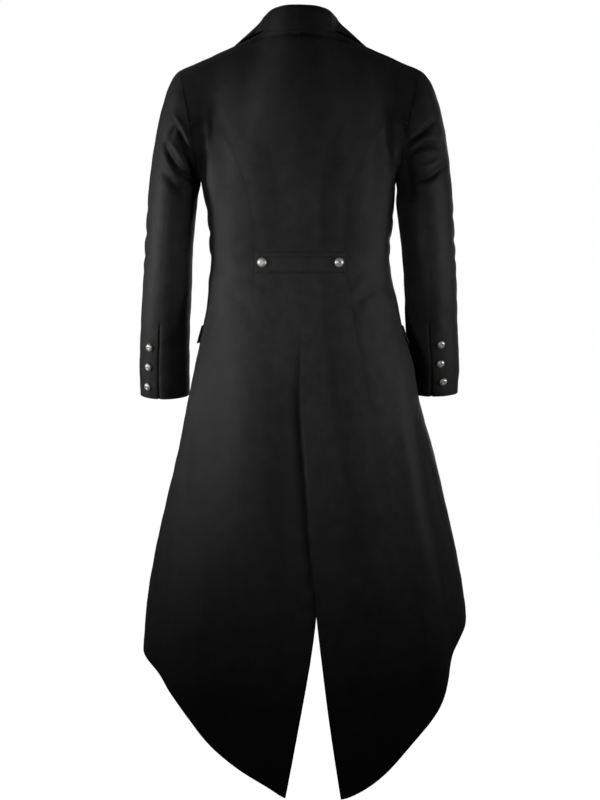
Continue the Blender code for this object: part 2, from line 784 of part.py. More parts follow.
def collar_section(side, place):
    """The middle line of the collar at a place from the middle of the back (0) to the gorge (1)."""
    stand = read(place, COLLAR, "place", "stand")
    roll = read(place, COLLAR, "place", "roll")
    edge_share = read(place, COLLAR, "place", "edge_share")
    edge_level = read(place, COLLAR, "place", "edge_level")
    front = place > COLLAR_NECK_POINT
    if front:
        level = GORGE_LEVEL * (place - COLLAR_NECK_POINT) / (1 - COLLAR_NECK_POINT)
        seat = body_point(side, FRONT_EDGE_TURN, level, CHEST_DROP, True)
    else:
        share = NECK_POINT_SHARE * place / COLLAR_NECK_POINT
        seat = top_point(side, np.array(share))[0]
    out = unit(np.array([seat[0], seat[1] - NECK_AXIS_BACK, 0.0]))
    up = unit(np.array([0.0, 0.0, 1.0]) - COLLAR_LEAN * out)
    along = 1 - ramp(place, 0.7, 1.0)
    up = unit(up * along + unit(up - out * 0.6) * (1 - along))
    hub = seat + up * (stand - roll) + out * roll
    line = [seat + up * (SEAM_GAP + 0.3) - out * 0.2, seat + up * (stand - roll) * 0.55 - out * 0.4]
    for k in range(ROLL_STEPS + 1):
        angle = math.pi * (1 - k / ROLL_STEPS)
        line.append(hub + out * roll * math.cos(angle) + up * roll * math.sin(angle))
    if front:
        edge_turn = FRONT_EDGE_TURN - (FRONT_EDGE_TURN - SIDE_TURN) * (edge_share - NECK_POINT_SHARE) / (
            1 - NECK_POINT_SHARE
        )
    else:
        edge_turn = SIDE_TURN * edge_share
    edge_turn = np.array(edge_turn)
    edge_level = np.array(edge_level)
    edge = body_point(side, edge_turn, edge_level, CHEST_DROP, front)
    edge = edge + COLLAR_CLEAR * body_normal(side, edge_turn, edge_level, CHEST_DROP, front)
    last = line[-1]
    line.append(last * 0.5 + edge * 0.5 + out * 1.0)
    line.append(edge)
    return np.array(line)


def add_collar(name):
    """Adds the collar: a stand that rises from the neck seam, rolls over and falls outside it."""
    back = np.linspace(0.0, COLLAR_NECK_POINT, COLLAR_BACK_STEPS + 1)
    front = np.linspace(COLLAR_NECK_POINT, 1.0, COLLAR_FRONT_STEPS + 1)[1:]
    places = np.concatenate([back, front])
    left = [collar_section(LEFT, place) for place in places]
    right = [collar_section(RIGHT, place) for place in places[1:]]
    middle = np.array(right[::-1] + left)
    along = np.gradient(middle, axis=0)
    across = np.gradient(middle, axis=1)
    normal = unit(np.cross(along, across))
    return add_sheet(name, middle + normal * COLLAR_WALL / 2, middle - normal * COLLAR_WALL / 2)


def sleeve_levels():
    """The levels of the rows of the sleeves."""
    return np.concatenate([np.linspace(0.0, 1.0, CAP_STEPS + 1), 1.0 + np.array(SLEEVE_SHARES)])


def seam_angles(level, at_armhole, at_cuff):
    """The angle of a sleeve seam at each level."""
    return at_armhole + (at_cuff - at_armhole) * ramp(level, 0.0, 2.0)


def add_sleeve_part(name, side, angles, level, sink):
    """Adds part of a sleeve from the angles of its points."""
    level = np.broadcast_to(level[:, None], angles.shape)
    normal = sleeve_normal(side, angles, level)
    outer = sleeve_point(side, angles, level) - normal * sink[..., None]
    return add_sheet(name, outer, outer - normal * WALL)


def mapped(angles, level, top_from, top_to, low_from, low_to):
    """Slides evenly placed angles so that they stay between two seams all the way down."""
    share = (angles[None, :] - top_from) / (top_to - top_from)
    start = seam_angles(level, top_from, low_from)[:, None]
    end = seam_angles(level, top_to, low_to)[:, None]
    return start + (end - start) * share


def add_top_sleeve(side, name):
    """Adds the outer part of a sleeve, from its front seam over the top to its back seam."""
    level = sleeve_levels()
    step = 180.0 / SHOULDER_STEPS
    angles = np.arange(FRONT_SEAM_AT_ARMHOLE - 360.0, BACK_SEAM_AT_ARMHOLE + step / 2, step)
    low_front = FRONT_SEAM_AT_CUFF - 360.0
    gap = 0.2
    grid = mapped(angles, level, angles[0], angles[-1], low_front, BACK_SEAM_AT_CUFF[side])
    grid[:, 0] += gap
    grid[:, -1] -= gap
    return add_sleeve_part(name, side, grid, level, np.zeros(grid.shape))


def add_under_sleeve(side, name):
    """Adds the inner part of a sleeve, which laps under the outer one at the cuff slit."""
    level = sleeve_levels()
    step = 180.0 / SHOULDER_STEPS
    angles = np.arange(BACK_SEAM_AT_ARMHOLE, FRONT_SEAM_AT_ARMHOLE + step / 2, step)
    gap = 0.2
    grid = mapped(angles, level, angles[0], angles[-1], BACK_SEAM_AT_CUFF[side], FRONT_SEAM_AT_CUFF)
    grid[:, 0] += gap
    grid[:, -1] -= gap
    edge = grid[:, 0] - SLIT_LAP * ramp(level, *SLIT_LAP_LEVELS)
    grid[:, 0] += 1.0
    grid = np.concatenate([edge[:, None], grid], axis=1)
    sink = np.zeros(grid.shape)
    sink[:, :2] = LAP_DEPTH * ramp(level, *SLIT_SINK_LEVELS)[:, None]
    return add_sleeve_part(name, side, grid, level, sink)


def add_belt(name):
    """Adds the half belt across the back of the waist."""
    turns = np.linspace(-BELT_HALF_TURN, BELT_HALF_TURN, 13)[None, :]
    drops = np.linspace(BELT_TOP_DROP, BELT_BOTTOM_DROP, 3)[:, None]
    outer = ring_point(LEFT, turns, drops)
    out = ring_normal(LEFT, turns, drops)
    outer = outer + out * BELT_RISE
    return add_sheet(name, outer, outer - out * BELT_WALL)


def add_flap(side, name):
    """Adds a pocket flap, which stands off the hip a little at its lower edge."""
    turns = np.linspace(FLAP_TURNS[0], FLAP_TURNS[1], 9)[None, :]
    drops = np.linspace(FLAP_DROPS[0], FLAP_DROPS[1], 4)[:, None]
    outer = ring_point(side, turns, drops)
    out = ring_normal(side, turns, drops)
    share = (drops - FLAP_DROPS[0]) / (FLAP_DROPS[1] - FLAP_DROPS[0])
    outer = outer + out * (FLAP_RISE + FLAP_FLARE[side] * share)[..., None]
    return add_sheet(name, outer, outer - out * WALL)


class ButtonCut(NamedTuple):
    """A ring of a domed button, as shares of its radius: how wide it is and how far it stands off the cloth."""

    radius: float
    height: float


BUTTON_PROFILE = (
    ButtonCut(0.55, 0.0),
    ButtonCut(0.97, 0.12),
    ButtonCut(1.0, 0.2),
    ButtonCut(0.86, 0.38),
    ButtonCut(0.5, 0.5),
)


def add_button(name, point, normal, radius):
    """Adds a domed button that sits on the cloth at a point."""
    normal = unit(np.asarray(normal, float))
    beside = unit(np.cross(np.array([0.0, 0.0, 1.0]), normal))
    above = np.cross(normal, beside)
    start = point + normal * BUTTON_CLEAR
    points = [start]
    for cut in BUTTON_PROFILE:
        for k in range(BUTTON_SEGMENTS):
            turn = 2 * math.pi * k / BUTTON_SEGMENTS
            across = beside * math.cos(turn) + above * math.sin(turn)
            points.append(start + across * cut.radius * radius + normal * cut.height * radius)
    points.append(start + normal * BUTTON_PROFILE[-1].height * 1.04 * radius)
    faces = []
    last = len(points) - 1
    for k in range(BUTTON_SEGMENTS):
        after = (k + 1) % BUTTON_SEGMENTS
        faces.append((0, 1 + after, 1 + k))
        for ring in range(len(BUTTON_PROFILE) - 1):
            low = 1 + ring * BUTTON_SEGMENTS
            high = low + BUTTON_SEGMENTS
            faces.append((low + k, low + after, high + after, high + k))
        high = 1 + (len(BUTTON_PROFILE) - 1) * BUTTON_SEGMENTS
        faces.append((high + k, high + after, last))
    return add_solid(name, points, faces, SILVER)


def add_buttons():
    """Adds the buttons of the belt, the cuffs and the front."""
    drop = (BELT_TOP_DROP + BELT_BOTTOM_DROP) / 2
    for side, word in ((LEFT, "left"), (RIGHT, "right")):
        point = ring_point(side, np.array(BELT_BUTTON_TURN), np.array(drop))
        out = ring_normal(side, np.array(BELT_BUTTON_TURN), np.array(drop))
        add_button("belt_button_" + word, point + out * BELT_RISE, out, BELT_BUTTON_RADIUS)
        for number, place in enumerate(CUFF_BUTTONS[side], 1):
            angle, level = np.array(place[0]), np.array(place[1])
            point = sleeve_point(side, angle, level)
            normal = sleeve_normal(side, angle, level)
            add_button(f"cuff_button_{word}_{number}", point, normal, CUFF_BUTTON_RADIUS)
    for number, drop in enumerate(FRONT_BUTTON_DROPS, 1):
        point = ring_point(LEFT, np.array(180.0), np.array(drop))
        out = ring_normal(LEFT, np.array(180.0), np.array(drop))
        add_button(f"front_button_{number}", point, out, FRONT_BUTTON_RADIUS)


def main():
    """Builds the coat."""
    for old in list(bpy.data.objects):
        bpy.data.objects.remove(old, do_unlink=True)
    for side, word in ((LEFT, "left"), (RIGHT, "right")):
        add_back(side, "back_" + word, "back_skirt_left" if side == LEFT else "")
        add_side(side, "side_" + word)
        add_front(side, "front_" + word, "front_skirt_" + word)
        add_lapel(side, "lapel_" + word)
        add_top_sleeve(side, "top_sleeve_" + word)
        add_under_sleeve(side, "under_sleeve_" + word)
        add_flap(side, "flap_" + word)
    add_collar("collar")
    add_belt("back_belt")
    add_buttons()


if __name__ == "__main__":
    main()
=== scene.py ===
"""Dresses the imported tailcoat: cloth panels over its solids, seams, creases, stitching and metal buttons.

Sizes are in millimetres and are turned into metres where a mesh is made. The coat's back faces +Y.
"""

import logging
import math
from collections.abc import Callable
from dataclasses import dataclass, field
from enum import Enum
from functools import partial
from typing import ClassVar

import bpy
import numpy as np
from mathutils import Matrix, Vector


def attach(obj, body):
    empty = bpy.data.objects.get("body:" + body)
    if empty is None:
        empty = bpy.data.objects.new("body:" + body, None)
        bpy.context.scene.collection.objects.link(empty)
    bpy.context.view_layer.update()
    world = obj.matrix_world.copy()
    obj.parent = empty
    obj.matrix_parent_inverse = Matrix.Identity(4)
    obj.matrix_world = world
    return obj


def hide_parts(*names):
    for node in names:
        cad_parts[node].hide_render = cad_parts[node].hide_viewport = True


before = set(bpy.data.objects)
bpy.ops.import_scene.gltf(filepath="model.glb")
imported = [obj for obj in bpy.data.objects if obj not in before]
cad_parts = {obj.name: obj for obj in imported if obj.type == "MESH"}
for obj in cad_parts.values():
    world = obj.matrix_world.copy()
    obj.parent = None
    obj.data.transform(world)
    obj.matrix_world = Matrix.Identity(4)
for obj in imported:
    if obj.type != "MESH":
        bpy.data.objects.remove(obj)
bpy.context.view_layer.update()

LOG = logging.getLogger("tailcoat")
MM = 0.001
ROOT = "root"
WHITE = (1.0, 1.0, 1.0, 1.0)
SEAM_TOLERANCE = 1e-6
LIFT_RANGE = 9.0
LAP_START = 0.02
LEAST_STEP = 0.001

Array = np.ndarray
Pair = tuple[np.ndarray, np.ndarray]
Numbers = float | Array
Colour = tuple[float, float, float, float]
Place = tuple[float, float, float]


class Side(Enum):
    """The wearer's side."""

    LEFT = 1.0
    RIGHT = -1.0

    @property
    def word(self) -> str:
        """The side's name in a node's name."""
        return self.name.lower()


class Face(Enum):
    """The face of the coat that a crease lies on."""

    BACK = "back"
    FRONT = "front"
    OUTER = "outer"


class Slot(Enum):
    """The names of the material slots."""

    CLOTH = "cloth"
    BUTTONS = "buttons"


@dataclass(frozen=True)
class BodyRing:
    """A level cut of the coat: half its width, its middle in x, its depth to back and front, its twist."""

    drop: float
    half_width: float
    middle: float
    back: float
    front: float
    twist: float


@dataclass(frozen=True)
class HemPoint:
    """How far down the hem reaches at a turn, for the wearer's left and right."""

    turn: float
    left: float
    right: float


@dataclass(frozen=True)
class TopPoint:
    """A point of the neck and shoulder seam, and the slope with which the cloth leaves it for the back."""

    share: float
    across: float
    back: float
    up: float
    slope_across: float
    slope_back: float
    slope_up: float
    reach: float


@dataclass(frozen=True)
class ChestSlope:
    """How the cloth above the chest runs into the chest ring: down, and round it under the arm."""

    share: float
    down: float
    round: float


@dataclass(frozen=True)
class SeamPoint:
    """Where a long seam or a level line lies, as a level and a turn in degrees."""

    level: float
    turn: float


@dataclass(frozen=True)
class WaistPoint:
    """How far down the waist level lies at a turn."""

    turn: float
    drop: float


@dataclass(frozen=True)
class Flute:
    """A soft fold of the skirt: where it runs, how wide it is and how far it stands out at the hem."""

    side: Side
    turn: float
    width: float
    rise: float
    start_drop: float


@dataclass(frozen=True)
class SleeveRing:
    """A cut of a sleeve: its middle in x and y, its half widths, how much lower its back is."""

    drop: float
    middle: float
    half_width: float
    middle_back: float
    half_depth: float
    tilt: float


@dataclass(frozen=True)
class CapSlope:
    """How a sleeve leaves the armhole at an angle, and how long it takes to run into its first ring."""

    angle: float
    out: float
    back: float
    up: float
    run: float


@dataclass(frozen=True)
class LapelPoint:
    """How much of the front a lapel covers at a level, from the break line out."""

    level: float
    share: float


@dataclass(frozen=True)
class CollarStation:
    """A cut of the collar: height of its stand, radius of its roll, where its outer edge lies on the coat."""

    place: float
    stand: float
    roll: float
    edge_share: float
    edge_level: float


@dataclass(frozen=True)
class Crease:
    """A crease of the cloth, drawn on one face of the coat through three points in millimetres.

    Each point gives the distance across, which is y on the outside of a sleeve and else x, and the height.
    """

    side: Side
    face: Face
    points: tuple[tuple[float, float], ...]
    width: float
    rise: float
    end_share: ClassVar[float] = 0.12
    end_power: ClassVar[float] = 0.8
    full_facing: ClassVar[float] = 0.45
    path_points: ClassVar[int] = 11

    def height(self, points: Array, normals: Array) -> Array:
        """Works out how far the crease lifts the cloth.

        Args:
            points: Points of the cloth.
            normals: The cloth's outward directions there.

        Returns:
            The lift at each point, negative in a trough.
        """
        across = points[..., 1] if self.face is Face.OUTER else points[..., 0]
        place = np.stack([across, points[..., 2]], axis=-1)
        path = self.path()
        near = np.full(across.shape, np.inf)
        along = np.zeros(across.shape)
        for k in range(len(path) - 1):
            step = path[k + 1] - path[k]
            share = np.clip(((place - path[k]) @ step) / (step @ step), 0.0, 1.0)
            gap = np.linalg.norm(place - path[k] - share[..., None] * step, axis=-1)
            closer = gap < near
            near = np.where(closer, gap, near)
            along = np.where(closer, (k + share) / (len(path) - 1), along)
        fading = np.sin(math.pi * np.clip(along, 0.0, 1.0)) ** self.end_power
        ends = self.end_share + (1 - self.end_share) * fading
        facing = {
            Face.BACK: normals[..., 1],
            Face.FRONT: -normals[..., 1],
            Face.OUTER: self.side.value * normals[..., 0],
        }[self.face]
        shown = soft_step(facing, 0.0, self.full_facing)
        return self.rise * ends * bell(near, self.width) * shown

    def path(self) -> Array:
        """Works out the crease's line.

        Returns:
            Points of a smooth bow that runs through the crease's middle point.
        """
        start, middle, end = (np.array(point) for point in self.points)
        pull = 2 * middle - (start + end) / 2
        share = np.linspace(0.0, 1.0, self.path_points)[:, None]
        return (1 - share) ** 2 * start + 2 * share * (1 - share) * pull + share**2 * end


def bell(distance: Array, width: float) -> Array:
    """Falls softly from 1 at no distance to 0 beyond a width."""
    return np.exp(-((distance / width) ** 2))


def soft_step(value: Numbers, start: float, end: float) -> Array:
    """Goes softly from 0 to 1 between two values."""
    share = np.clip((np.asarray(value, float) - start) / (end - start), 0.0, 1.0)
    return share * share * (3 - 2 * share)


def unit(vectors: Array) -> Array:
    """Returns vectors of length one."""
    return vectors / np.maximum(np.linalg.norm(vectors, axis=-1, keepdims=True), 1e-9)


def hermite(
    share: Numbers, start: Numbers, start_slope: Numbers, end: Numbers, end_slope: Numbers
) -> Array:
    """Reads a cubic curve.

    Args:
        share: How far along the curve to read, from 0 to 1.
        start: The curve's first point.
        start_slope: Its slope there.
        end: The curve's last point.
        end_slope: Its slope there.

    Returns:
        The curve's points.
    """
    return (
        (2 * share**3 - 3 * share**2 + 1) * start
        + (share**3 - 2 * share**2 + share) * start_slope
        + (3 * share**2 - 2 * share**3) * end
        + (share**3 - share**2) * end_slope
    )


def read(at: Numbers, rows: tuple, key: str, name: str) -> Array:
    """Reads one named column of a table along its key column, on a smooth curve.

    Args:
        at: Where to read.
        rows: The table.
        key: The name of the key column.
        name: The name of the column to read.

    Returns:
        The column's values there.
    """
    at = np.asarray(at, float)
    knots = np.array([getattr(row, key) for row in rows], float)
    values = np.array([getattr(row, name) for row in rows], float)
    slopes = np.gradient(values, knots)
    i = np.clip(np.searchsorted(knots, at, side="right") - 1, 0, len(knots) - 2)
    width = knots[i + 1] - knots[i]
    share = (at - knots[i]) / width
    return hermite(share, values[i], slopes[i] * width, values[i + 1], slopes[i + 1] * width)


def read_place(at: Numbers, rows: tuple, key: str, names: tuple[str, str, str], flip: Numbers) -> Array:
    """Reads three named columns of a table as points or directions.

    Args:
        at: Where to read.
        rows: The table.
        key: The name of the key column.
        names: The names of the columns for x, y and z.
        flip: What x is multiplied by, to mirror it.

    Returns:
        The points or directions.
    """
    x, y, z = (read(at, rows, key, name) for name in names)
    return np.stack([flip * x, y, z], axis=-1)


@dataclass(frozen=True)
class CoatForm:
    """The surface that every panel lies on: the body of the coat and its sleeves, filled out."""

    chest_drop: float = 262.0
    side_turn: float = 90.0
    front_edge_turn: float = 186.0
    neck_point_share: float = 0.36
    ring_square: float = 0.06
    front_reach: float = 1.02
    flute_growth: float = 420.0
    seam_gap: float = 0.04
    cap_axis_lean: float = 0.08
    right_cap_fullness: float = 1.2
    turn_nudge: float = 0.2
    level_nudge: float = 0.002
    drop_nudge: float = 1.0
    sleeve_off: float = 0.6
    sleeve_off_low: float = 0.6
    sleeve_off_round: float = 0.8
    rings: tuple[BodyRing, ...] = (
        BodyRing(262, 183, 3, 120, 122, 0.0),
        BodyRing(327, 176, -1, 112, 118, 0.0),
        BodyRing(384, 171, 0, 101, 110, 0.0),
        BodyRing(410, 170, -1, 98, 107, 0.0),
        BodyRing(441, 174, -1, 99, 107, 0.2),
        BodyRing(479, 179.5, -4.5, 104, 110, 0.6),
        BodyRing(530, 189, -5, 113, 114, 1.2),
        BodyRing(597, 206, -8, 124, 120, 1.7),
        BodyRing(669, 220, -7, 134, 130, 1.0),
        BodyRing(764, 242, -11, 146, 142, 0.0),
        BodyRing(859, 264, -11, 158, 156, -1.6),
        BodyRing(954, 285, -11, 170, 168, -2.5),
        BodyRing(1049, 301, -11, 180, 178, -3.2),
        BodyRing(1120, 307, -11, 187, 184, -3.2),
        BodyRing(1250, 313, -9, 196, 192, -3.2),
        BodyRing(1400, 318, -8, 203, 198, -3.2),
    )
    hem: tuple[HemPoint, ...] = (
        HemPoint(7.7, 1390, 1390),
        HemPoint(9.5, 1386, 1388),
        HemPoint(14, 1370, 1377),
        HemPoint(22, 1343, 1348),
        HemPoint(32, 1302, 1300),
        HemPoint(45, 1238, 1236),
        HemPoint(60, 1186, 1136),
        HemPoint(76, 1152, 1084),
        HemPoint(90, 1128, 1060),
        HemPoint(110, 1030, 975),
        HemPoint(130, 875, 845),
        HemPoint(150, 712, 700),
        HemPoint(170, 560, 558),
        HemPoint(186, 492, 492),
    )
    waist: tuple[WaistPoint, ...] = (
        WaistPoint(-10, 479),
        WaistPoint(90, 479),
        WaistPoint(130, 452),
        WaistPoint(186, 405),
    )
    top: tuple[TopPoint, ...] = (
        TopPoint(0.00, 0, 74, 37, 0.00, 0.45, -0.89, 215),
        TopPoint(0.12, 28, 69, 36, 0.00, 0.50, -0.86, 215),
        TopPoint(0.24, 52, 50, 32, 0.00, 0.66, -0.72, 210),
        TopPoint(0.36, 68, 12, 24, 0.00, 0.98, -0.16, 200),
        TopPoint(0.58, 117, 8, 0, 0.00, 0.99, -0.06, 195),
        TopPoint(0.80, 172, 2, -24, -0.02, 0.99, -0.03, 215),
        TopPoint(1.00, 224, -5, -46, -0.04, 0.99, -0.06, 262),
    )
    back_slopes: tuple[ChestSlope, ...] = (
        ChestSlope(0.0, 260, 0.0),
        ChestSlope(0.5, 265, 0.0),
        ChestSlope(0.7, 240, 0.25),
        ChestSlope(0.85, 150, 1.1),
        ChestSlope(1.0, 34, 2.3),
    )
    front_slopes: tuple[ChestSlope, ...] = (
        ChestSlope(0.0, 330, -0.66),
        ChestSlope(0.2, 310, -0.25),
        ChestSlope(0.5, 270, 0.0),
        ChestSlope(0.7, 240, 0.25),
        ChestSlope(0.85, 150, 1.1),
        ChestSlope(1.0, 34, 2.2),
    )
    flutes: tuple[Flute, ...] = (
        Flute(Side.RIGHT, 30, 9, -3.0, 700),
        Flute(Side.RIGHT, 48, 8, 5.0, 560),
        Flute(Side.RIGHT, 58, 6, -6.0, 620),
        Flute(Side.RIGHT, 74, 9, 4.0, 600),
        Flute(Side.RIGHT, 108, 14, 5.0, 620),
        Flute(Side.LEFT, 17, 8, -3.5, 620),
        Flute(Side.LEFT, 40, 11, 3.5, 640),
        Flute(Side.LEFT, 64, 8, -4.5, 600),
        Flute(Side.LEFT, 80, 9, 3.5, 640),
        Flute(Side.LEFT, 108, 14, 4.0, 620),
    )
    left_sleeve: tuple[SleeveRing, ...] = (
        SleeveRing(300, 241, 47, 6, 66, 0),
        SleeveRing(384, 248, 46, 1, 62, 2),
        SleeveRing(460, 252, 47, -8, 57, 4),
        SleeveRing(530, 256.5, 47, -22, 52, 6),
        SleeveRing(612, 260, 48, -48, 48, 9),
        SleeveRing(661, 260, 47.5, -64, 47, 8),
    )
    right_sleeve: tuple[SleeveRing, ...] = (
        SleeveRing(300, 235, 54, 6, 66, 0),
        SleeveRing(384, 243, 51, 1, 62, 2),
        SleeveRing(460, 248, 50, -8, 57, 4),
        SleeveRing(530, 251, 50, -30, 52, 6),
        SleeveRing(612, 258, 48.5, -64, 48, 7),
        SleeveRing(658, 258, 47.5, -85, 47, 7),
    )
    cap_slopes: tuple[CapSlope, ...] = (
        CapSlope(-45, 88, -30, -70, 225),
        CapSlope(0, 110, 0, -60, 260),
        CapSlope(45, 88, 25, -70, 225),
        CapSlope(90, 60, 5, -90, 150),
        CapSlope(135, 26, -2, -60, 70),
        CapSlope(180, 10, 0, -40, 40),
        CapSlope(225, 26, 2, -60, 70),
        CapSlope(270, 60, -12, -90, 150),
        CapSlope(315, 88, -30, -70, 225),
        CapSlope(360, 110, 0, -60, 260),
        CapSlope(405, 88, 25, -70, 225),
    )

    def facing(
        self,
        way: float,
        place: Callable[[Numbers, Numbers], Array],
        turn: Numbers,
        other: Numbers,
        rise: float,
    ) -> Array:
        """Works out which way a surface faces, from the points beside each of its points.

        Args:
            way: 1 or -1, so that the direction is outwards.
            place: Gives a point of the surface for a turn and a drop or level.
            turn: Turns or angles round the surface.
            other: Drops or levels.
            rise: How far the points beside are in drop or level.

        Returns:
            The directions.
        """
        step = self.turn_nudge
        across = place(turn + step, other) - place(turn - step, other)
        along = place(turn, other + rise) - place(turn, other - rise)
        return unit(way * np.cross(across, along))

    def flute_rise(self, side: Side, turn: Array, drop: Array) -> Array:
        """Works out how far the soft folds of the skirt stand out.

        Args:
            side: The wearer's side.
            turn: Turns round the body, in degrees.
            drop: How far down the points lie.

        Returns:
            The rise at each point, negative in a trough.
        """
        rise = np.zeros(np.broadcast(turn, drop).shape)
        for flute in self.flutes:
            if flute.side is side:
                grown = soft_step(drop, flute.start_drop, flute.start_drop + self.flute_growth)
                rise = rise + flute.rise * grown * bell(turn - flute.turn, flute.width)
        return rise

    def ring_point(self, side: Side, turn: Array, drop: Array) -> Array:
        """Works out points of the coat below the arms.

        Args:
            side: The wearer's side.
            turn: Turns round the body, in degrees.
            drop: How far down the points lie.

        Returns:
            The points.
        """
        angle = np.radians(turn + side.value * read(drop, self.rings, "drop", "twist"))
        bow = self.ring_square * np.sin(2 * angle)
        wide, deep = angle + bow, angle - bow
        names = ("half_width", "back", "front", "middle")
        half, back, front, middle = (read(drop, self.rings, "drop", name) for name in names)
        depth = np.where(np.cos(deep) > 0, back, front)
        rise = self.flute_rise(side, turn, drop)
        x = middle + side.value * (half + rise) * np.sin(wide)
        y = (depth + rise) * np.cos(deep)
        return np.stack(np.broadcast_arrays(x, y, -np.asarray(drop, float)), axis=-1)

    def ring_normal(self, side: Side, turn: Array, drop: Array) -> Array:
        """Returns the outward directions of the coat below the arms."""
        return self.facing(side.value, partial(self.ring_point, side), turn, drop, self.drop_nudge)

    def chest_point(self, side: Side, turn: Array) -> Pair:
        """Works out points of the ring under the arms.

        Args:
            side: The wearer's side.
            turn: Turns round the body, in degrees.

        Returns:
            The points, and the ring's direction there for one radian of turn.
        """
        drop = np.full(np.shape(turn), self.chest_drop)
        point = self.ring_point(side, turn, drop)
        ahead = self.ring_point(side, turn + self.turn_nudge, drop)
        return point, (ahead - point) / math.radians(self.turn_nudge)

    def top_point(self, side: Side, share: Array) -> Pair:
        """Works out points of the neck and shoulder seam.

        Args:
            side: The wearer's side.
            share: How far along the seam, from 0 at the neck's back to 1 at the shoulder's end.

        Returns:
            The points, and the slope with which the cloth leaves them for the back.
        """
        mirrored = side.value * np.where(share < 0, -1.0, 1.0)
        share = np.abs(share)
        slope_names = ("slope_across", "slope_back", "slope_up")
        point = read_place(share, self.top, "share", ("across", "back", "up"), mirrored)
        slope = read_place(share, self.top, "share", slope_names, mirrored)
        return point, slope * read(share, self.top, "share", "reach")[..., None]

    def upper(self, side: Side, turn: Array, level: Array, front: bool) -> Array:
        """Works out points between the shoulder seam and the chest.

        Args:
            side: The wearer's side.
            turn: Turns round the body.
            level: Levels, from 0 at the shoulder seam to 1 at the chest.
            front: Whether the points are on the front.

        Returns:
            The points.
        """
        if front:
            share = (self.front_edge_turn - turn) / (self.front_edge_turn - self.side_turn)
            seam = self.neck_point_share + (1 - self.neck_point_share) * share
            top, slope = self.top_point(side, seam)
            slope = -self.front_reach * slope
            rows, way = self.front_slopes, -1.0
        else:
            share = turn / self.side_turn
            top, slope = self.top_point(side, share)
            rows, way = self.back_slopes, 1.0
        chest, around = self.chest_point(side, turn)
        down = read(share, rows, "share", "down")[..., None] * np.array([0.0, 0.0, -1.0])
        end_slope = down + way * around * read(share, rows, "share", "round")[..., None]
        return hermite(np.asarray(level)[..., None], top, slope, chest, end_slope)

    def hem_drop(self, side: Side, turn: Array) -> Array:
        """Returns how far down the hem reaches at a turn."""
        return read(turn, self.hem, "turn", side.word)

    def drop_at(self, level: Array, turn: Array, bottom: Array) -> Array:
        """Works out how far down a level lies.

        Args:
            level: Levels: 1 the chest, 2 the waist, 3 the hem.
            turn: Turns round the body, in degrees.
            bottom: How far down each point's column of cloth reaches.

        Returns:
            The drops.
        """
        waist = np.interp(turn, [row.turn for row in self.waist], [row.drop for row in self.waist])
        torso = self.chest_drop + (waist - self.chest_drop) * (level - 1.0)
        return np.where(level < 2.0, torso, waist + (bottom - waist) * (level - 2.0))

    def body_point(self, side: Side, turn: Numbers, level: Numbers, bottom: Numbers, front: bool) -> Array:
        """Works out points of the outside of the coat's body.

        Args:
            side: The wearer's side.
            turn: Turns round the body, in degrees from the middle of the back.
            level: Levels: 0 the shoulder, 1 the chest, 2 the waist, 3 the hem.
            bottom: How far down each point's column of cloth reaches.
            front: Whether the points above the chest are on the front.

        Returns:
            The points.
        """
        turn, level, bottom = np.broadcast_arrays(
            np.asarray(turn, float), np.asarray(level, float), np.asarray(bottom, float)
        )
        high = self.upper(side, turn, np.minimum(level, 1.0 + self.level_nudge), front)
        low = self.ring_point(side, turn, self.drop_at(np.maximum(level, 1.0), turn, bottom))
        return np.where((level < 1.0)[..., None], high, low)

    def body_normal(self, side: Side, turn: Numbers, level: Numbers, bottom: Numbers, front: bool) -> Array:
        """Returns the outward directions of the coat's body, for the same values as body_point."""
        place = partial(self.body_point, side, bottom=bottom, front=front)
        return self.facing(side.value, place, turn, level, self.level_nudge)

    def sleeve_rows(self, side: Side) -> tuple[SleeveRing, ...]:
        """Returns the rings of a side's sleeve."""
        return self.left_sleeve if side is Side.LEFT else self.right_sleeve

    def sleeve_ring(self, side: Side, angle: Array, drop: Array) -> Array:
        """Works out points of a sleeve below its first ring.

        Args:
            side: The wearer's side.
            angle: Angles round the sleeve, in degrees.
            drop: How far down the points lie.

        Returns:
            The points.
        """
        rows = self.sleeve_rows(side)
        turn = np.radians(angle)
        names = ("middle", "half_width", "middle_back", "half_depth", "tilt")
        middle, width, back, depth, tilt = (read(drop, rows, "drop", name) for name in names)
        x = middle + width * np.cos(turn)
        y = back + depth * np.sin(turn)
        z = -np.asarray(drop) - tilt * np.sin(turn)
        return np.stack(np.broadcast_arrays(side.value * x, y, z), axis=-1)

    def armhole_point(self, side: Side, angle: Array) -> Array:
        """Works out points of the armhole.

        Args:
            side: The wearer's side.
            angle: Angles: 0 the shoulder, 90 the back, 180 under the arm, 270 the front.

        Returns:
            The points.
        """
        angle = np.mod(angle, 360.0)
        edge = np.full(np.shape(angle), self.side_turn)
        back = self.upper(side, edge, np.minimum(angle, 180.0) / 180.0, False)
        front = self.upper(side, edge, (360.0 - np.maximum(angle, 180.0)) / 180.0, True)
        return np.where((angle <= 180.0)[..., None], back, front)

    def armhole_clear(self, side: Side, around: Array) -> Array:
        """Works out the step from the armhole's edge to the sleeve's, which hangs a little off the body.

        Args:
            side: The wearer's side.
            around: Angles round the armhole, from 0 to 360.

        Returns:
            The step at each angle.
        """
        low = soft_step(around, 30.0, 100.0) * (1 - soft_step(around, 260.0, 330.0))
        turn = np.radians(around)
        out = self.sleeve_off + self.sleeve_off_low * low
        step = np.stack([out, self.sleeve_off_round * low * np.sin(turn), np.zeros(around.shape)], axis=-1)
        return step * np.array([side.value, 1.0, 1.0])

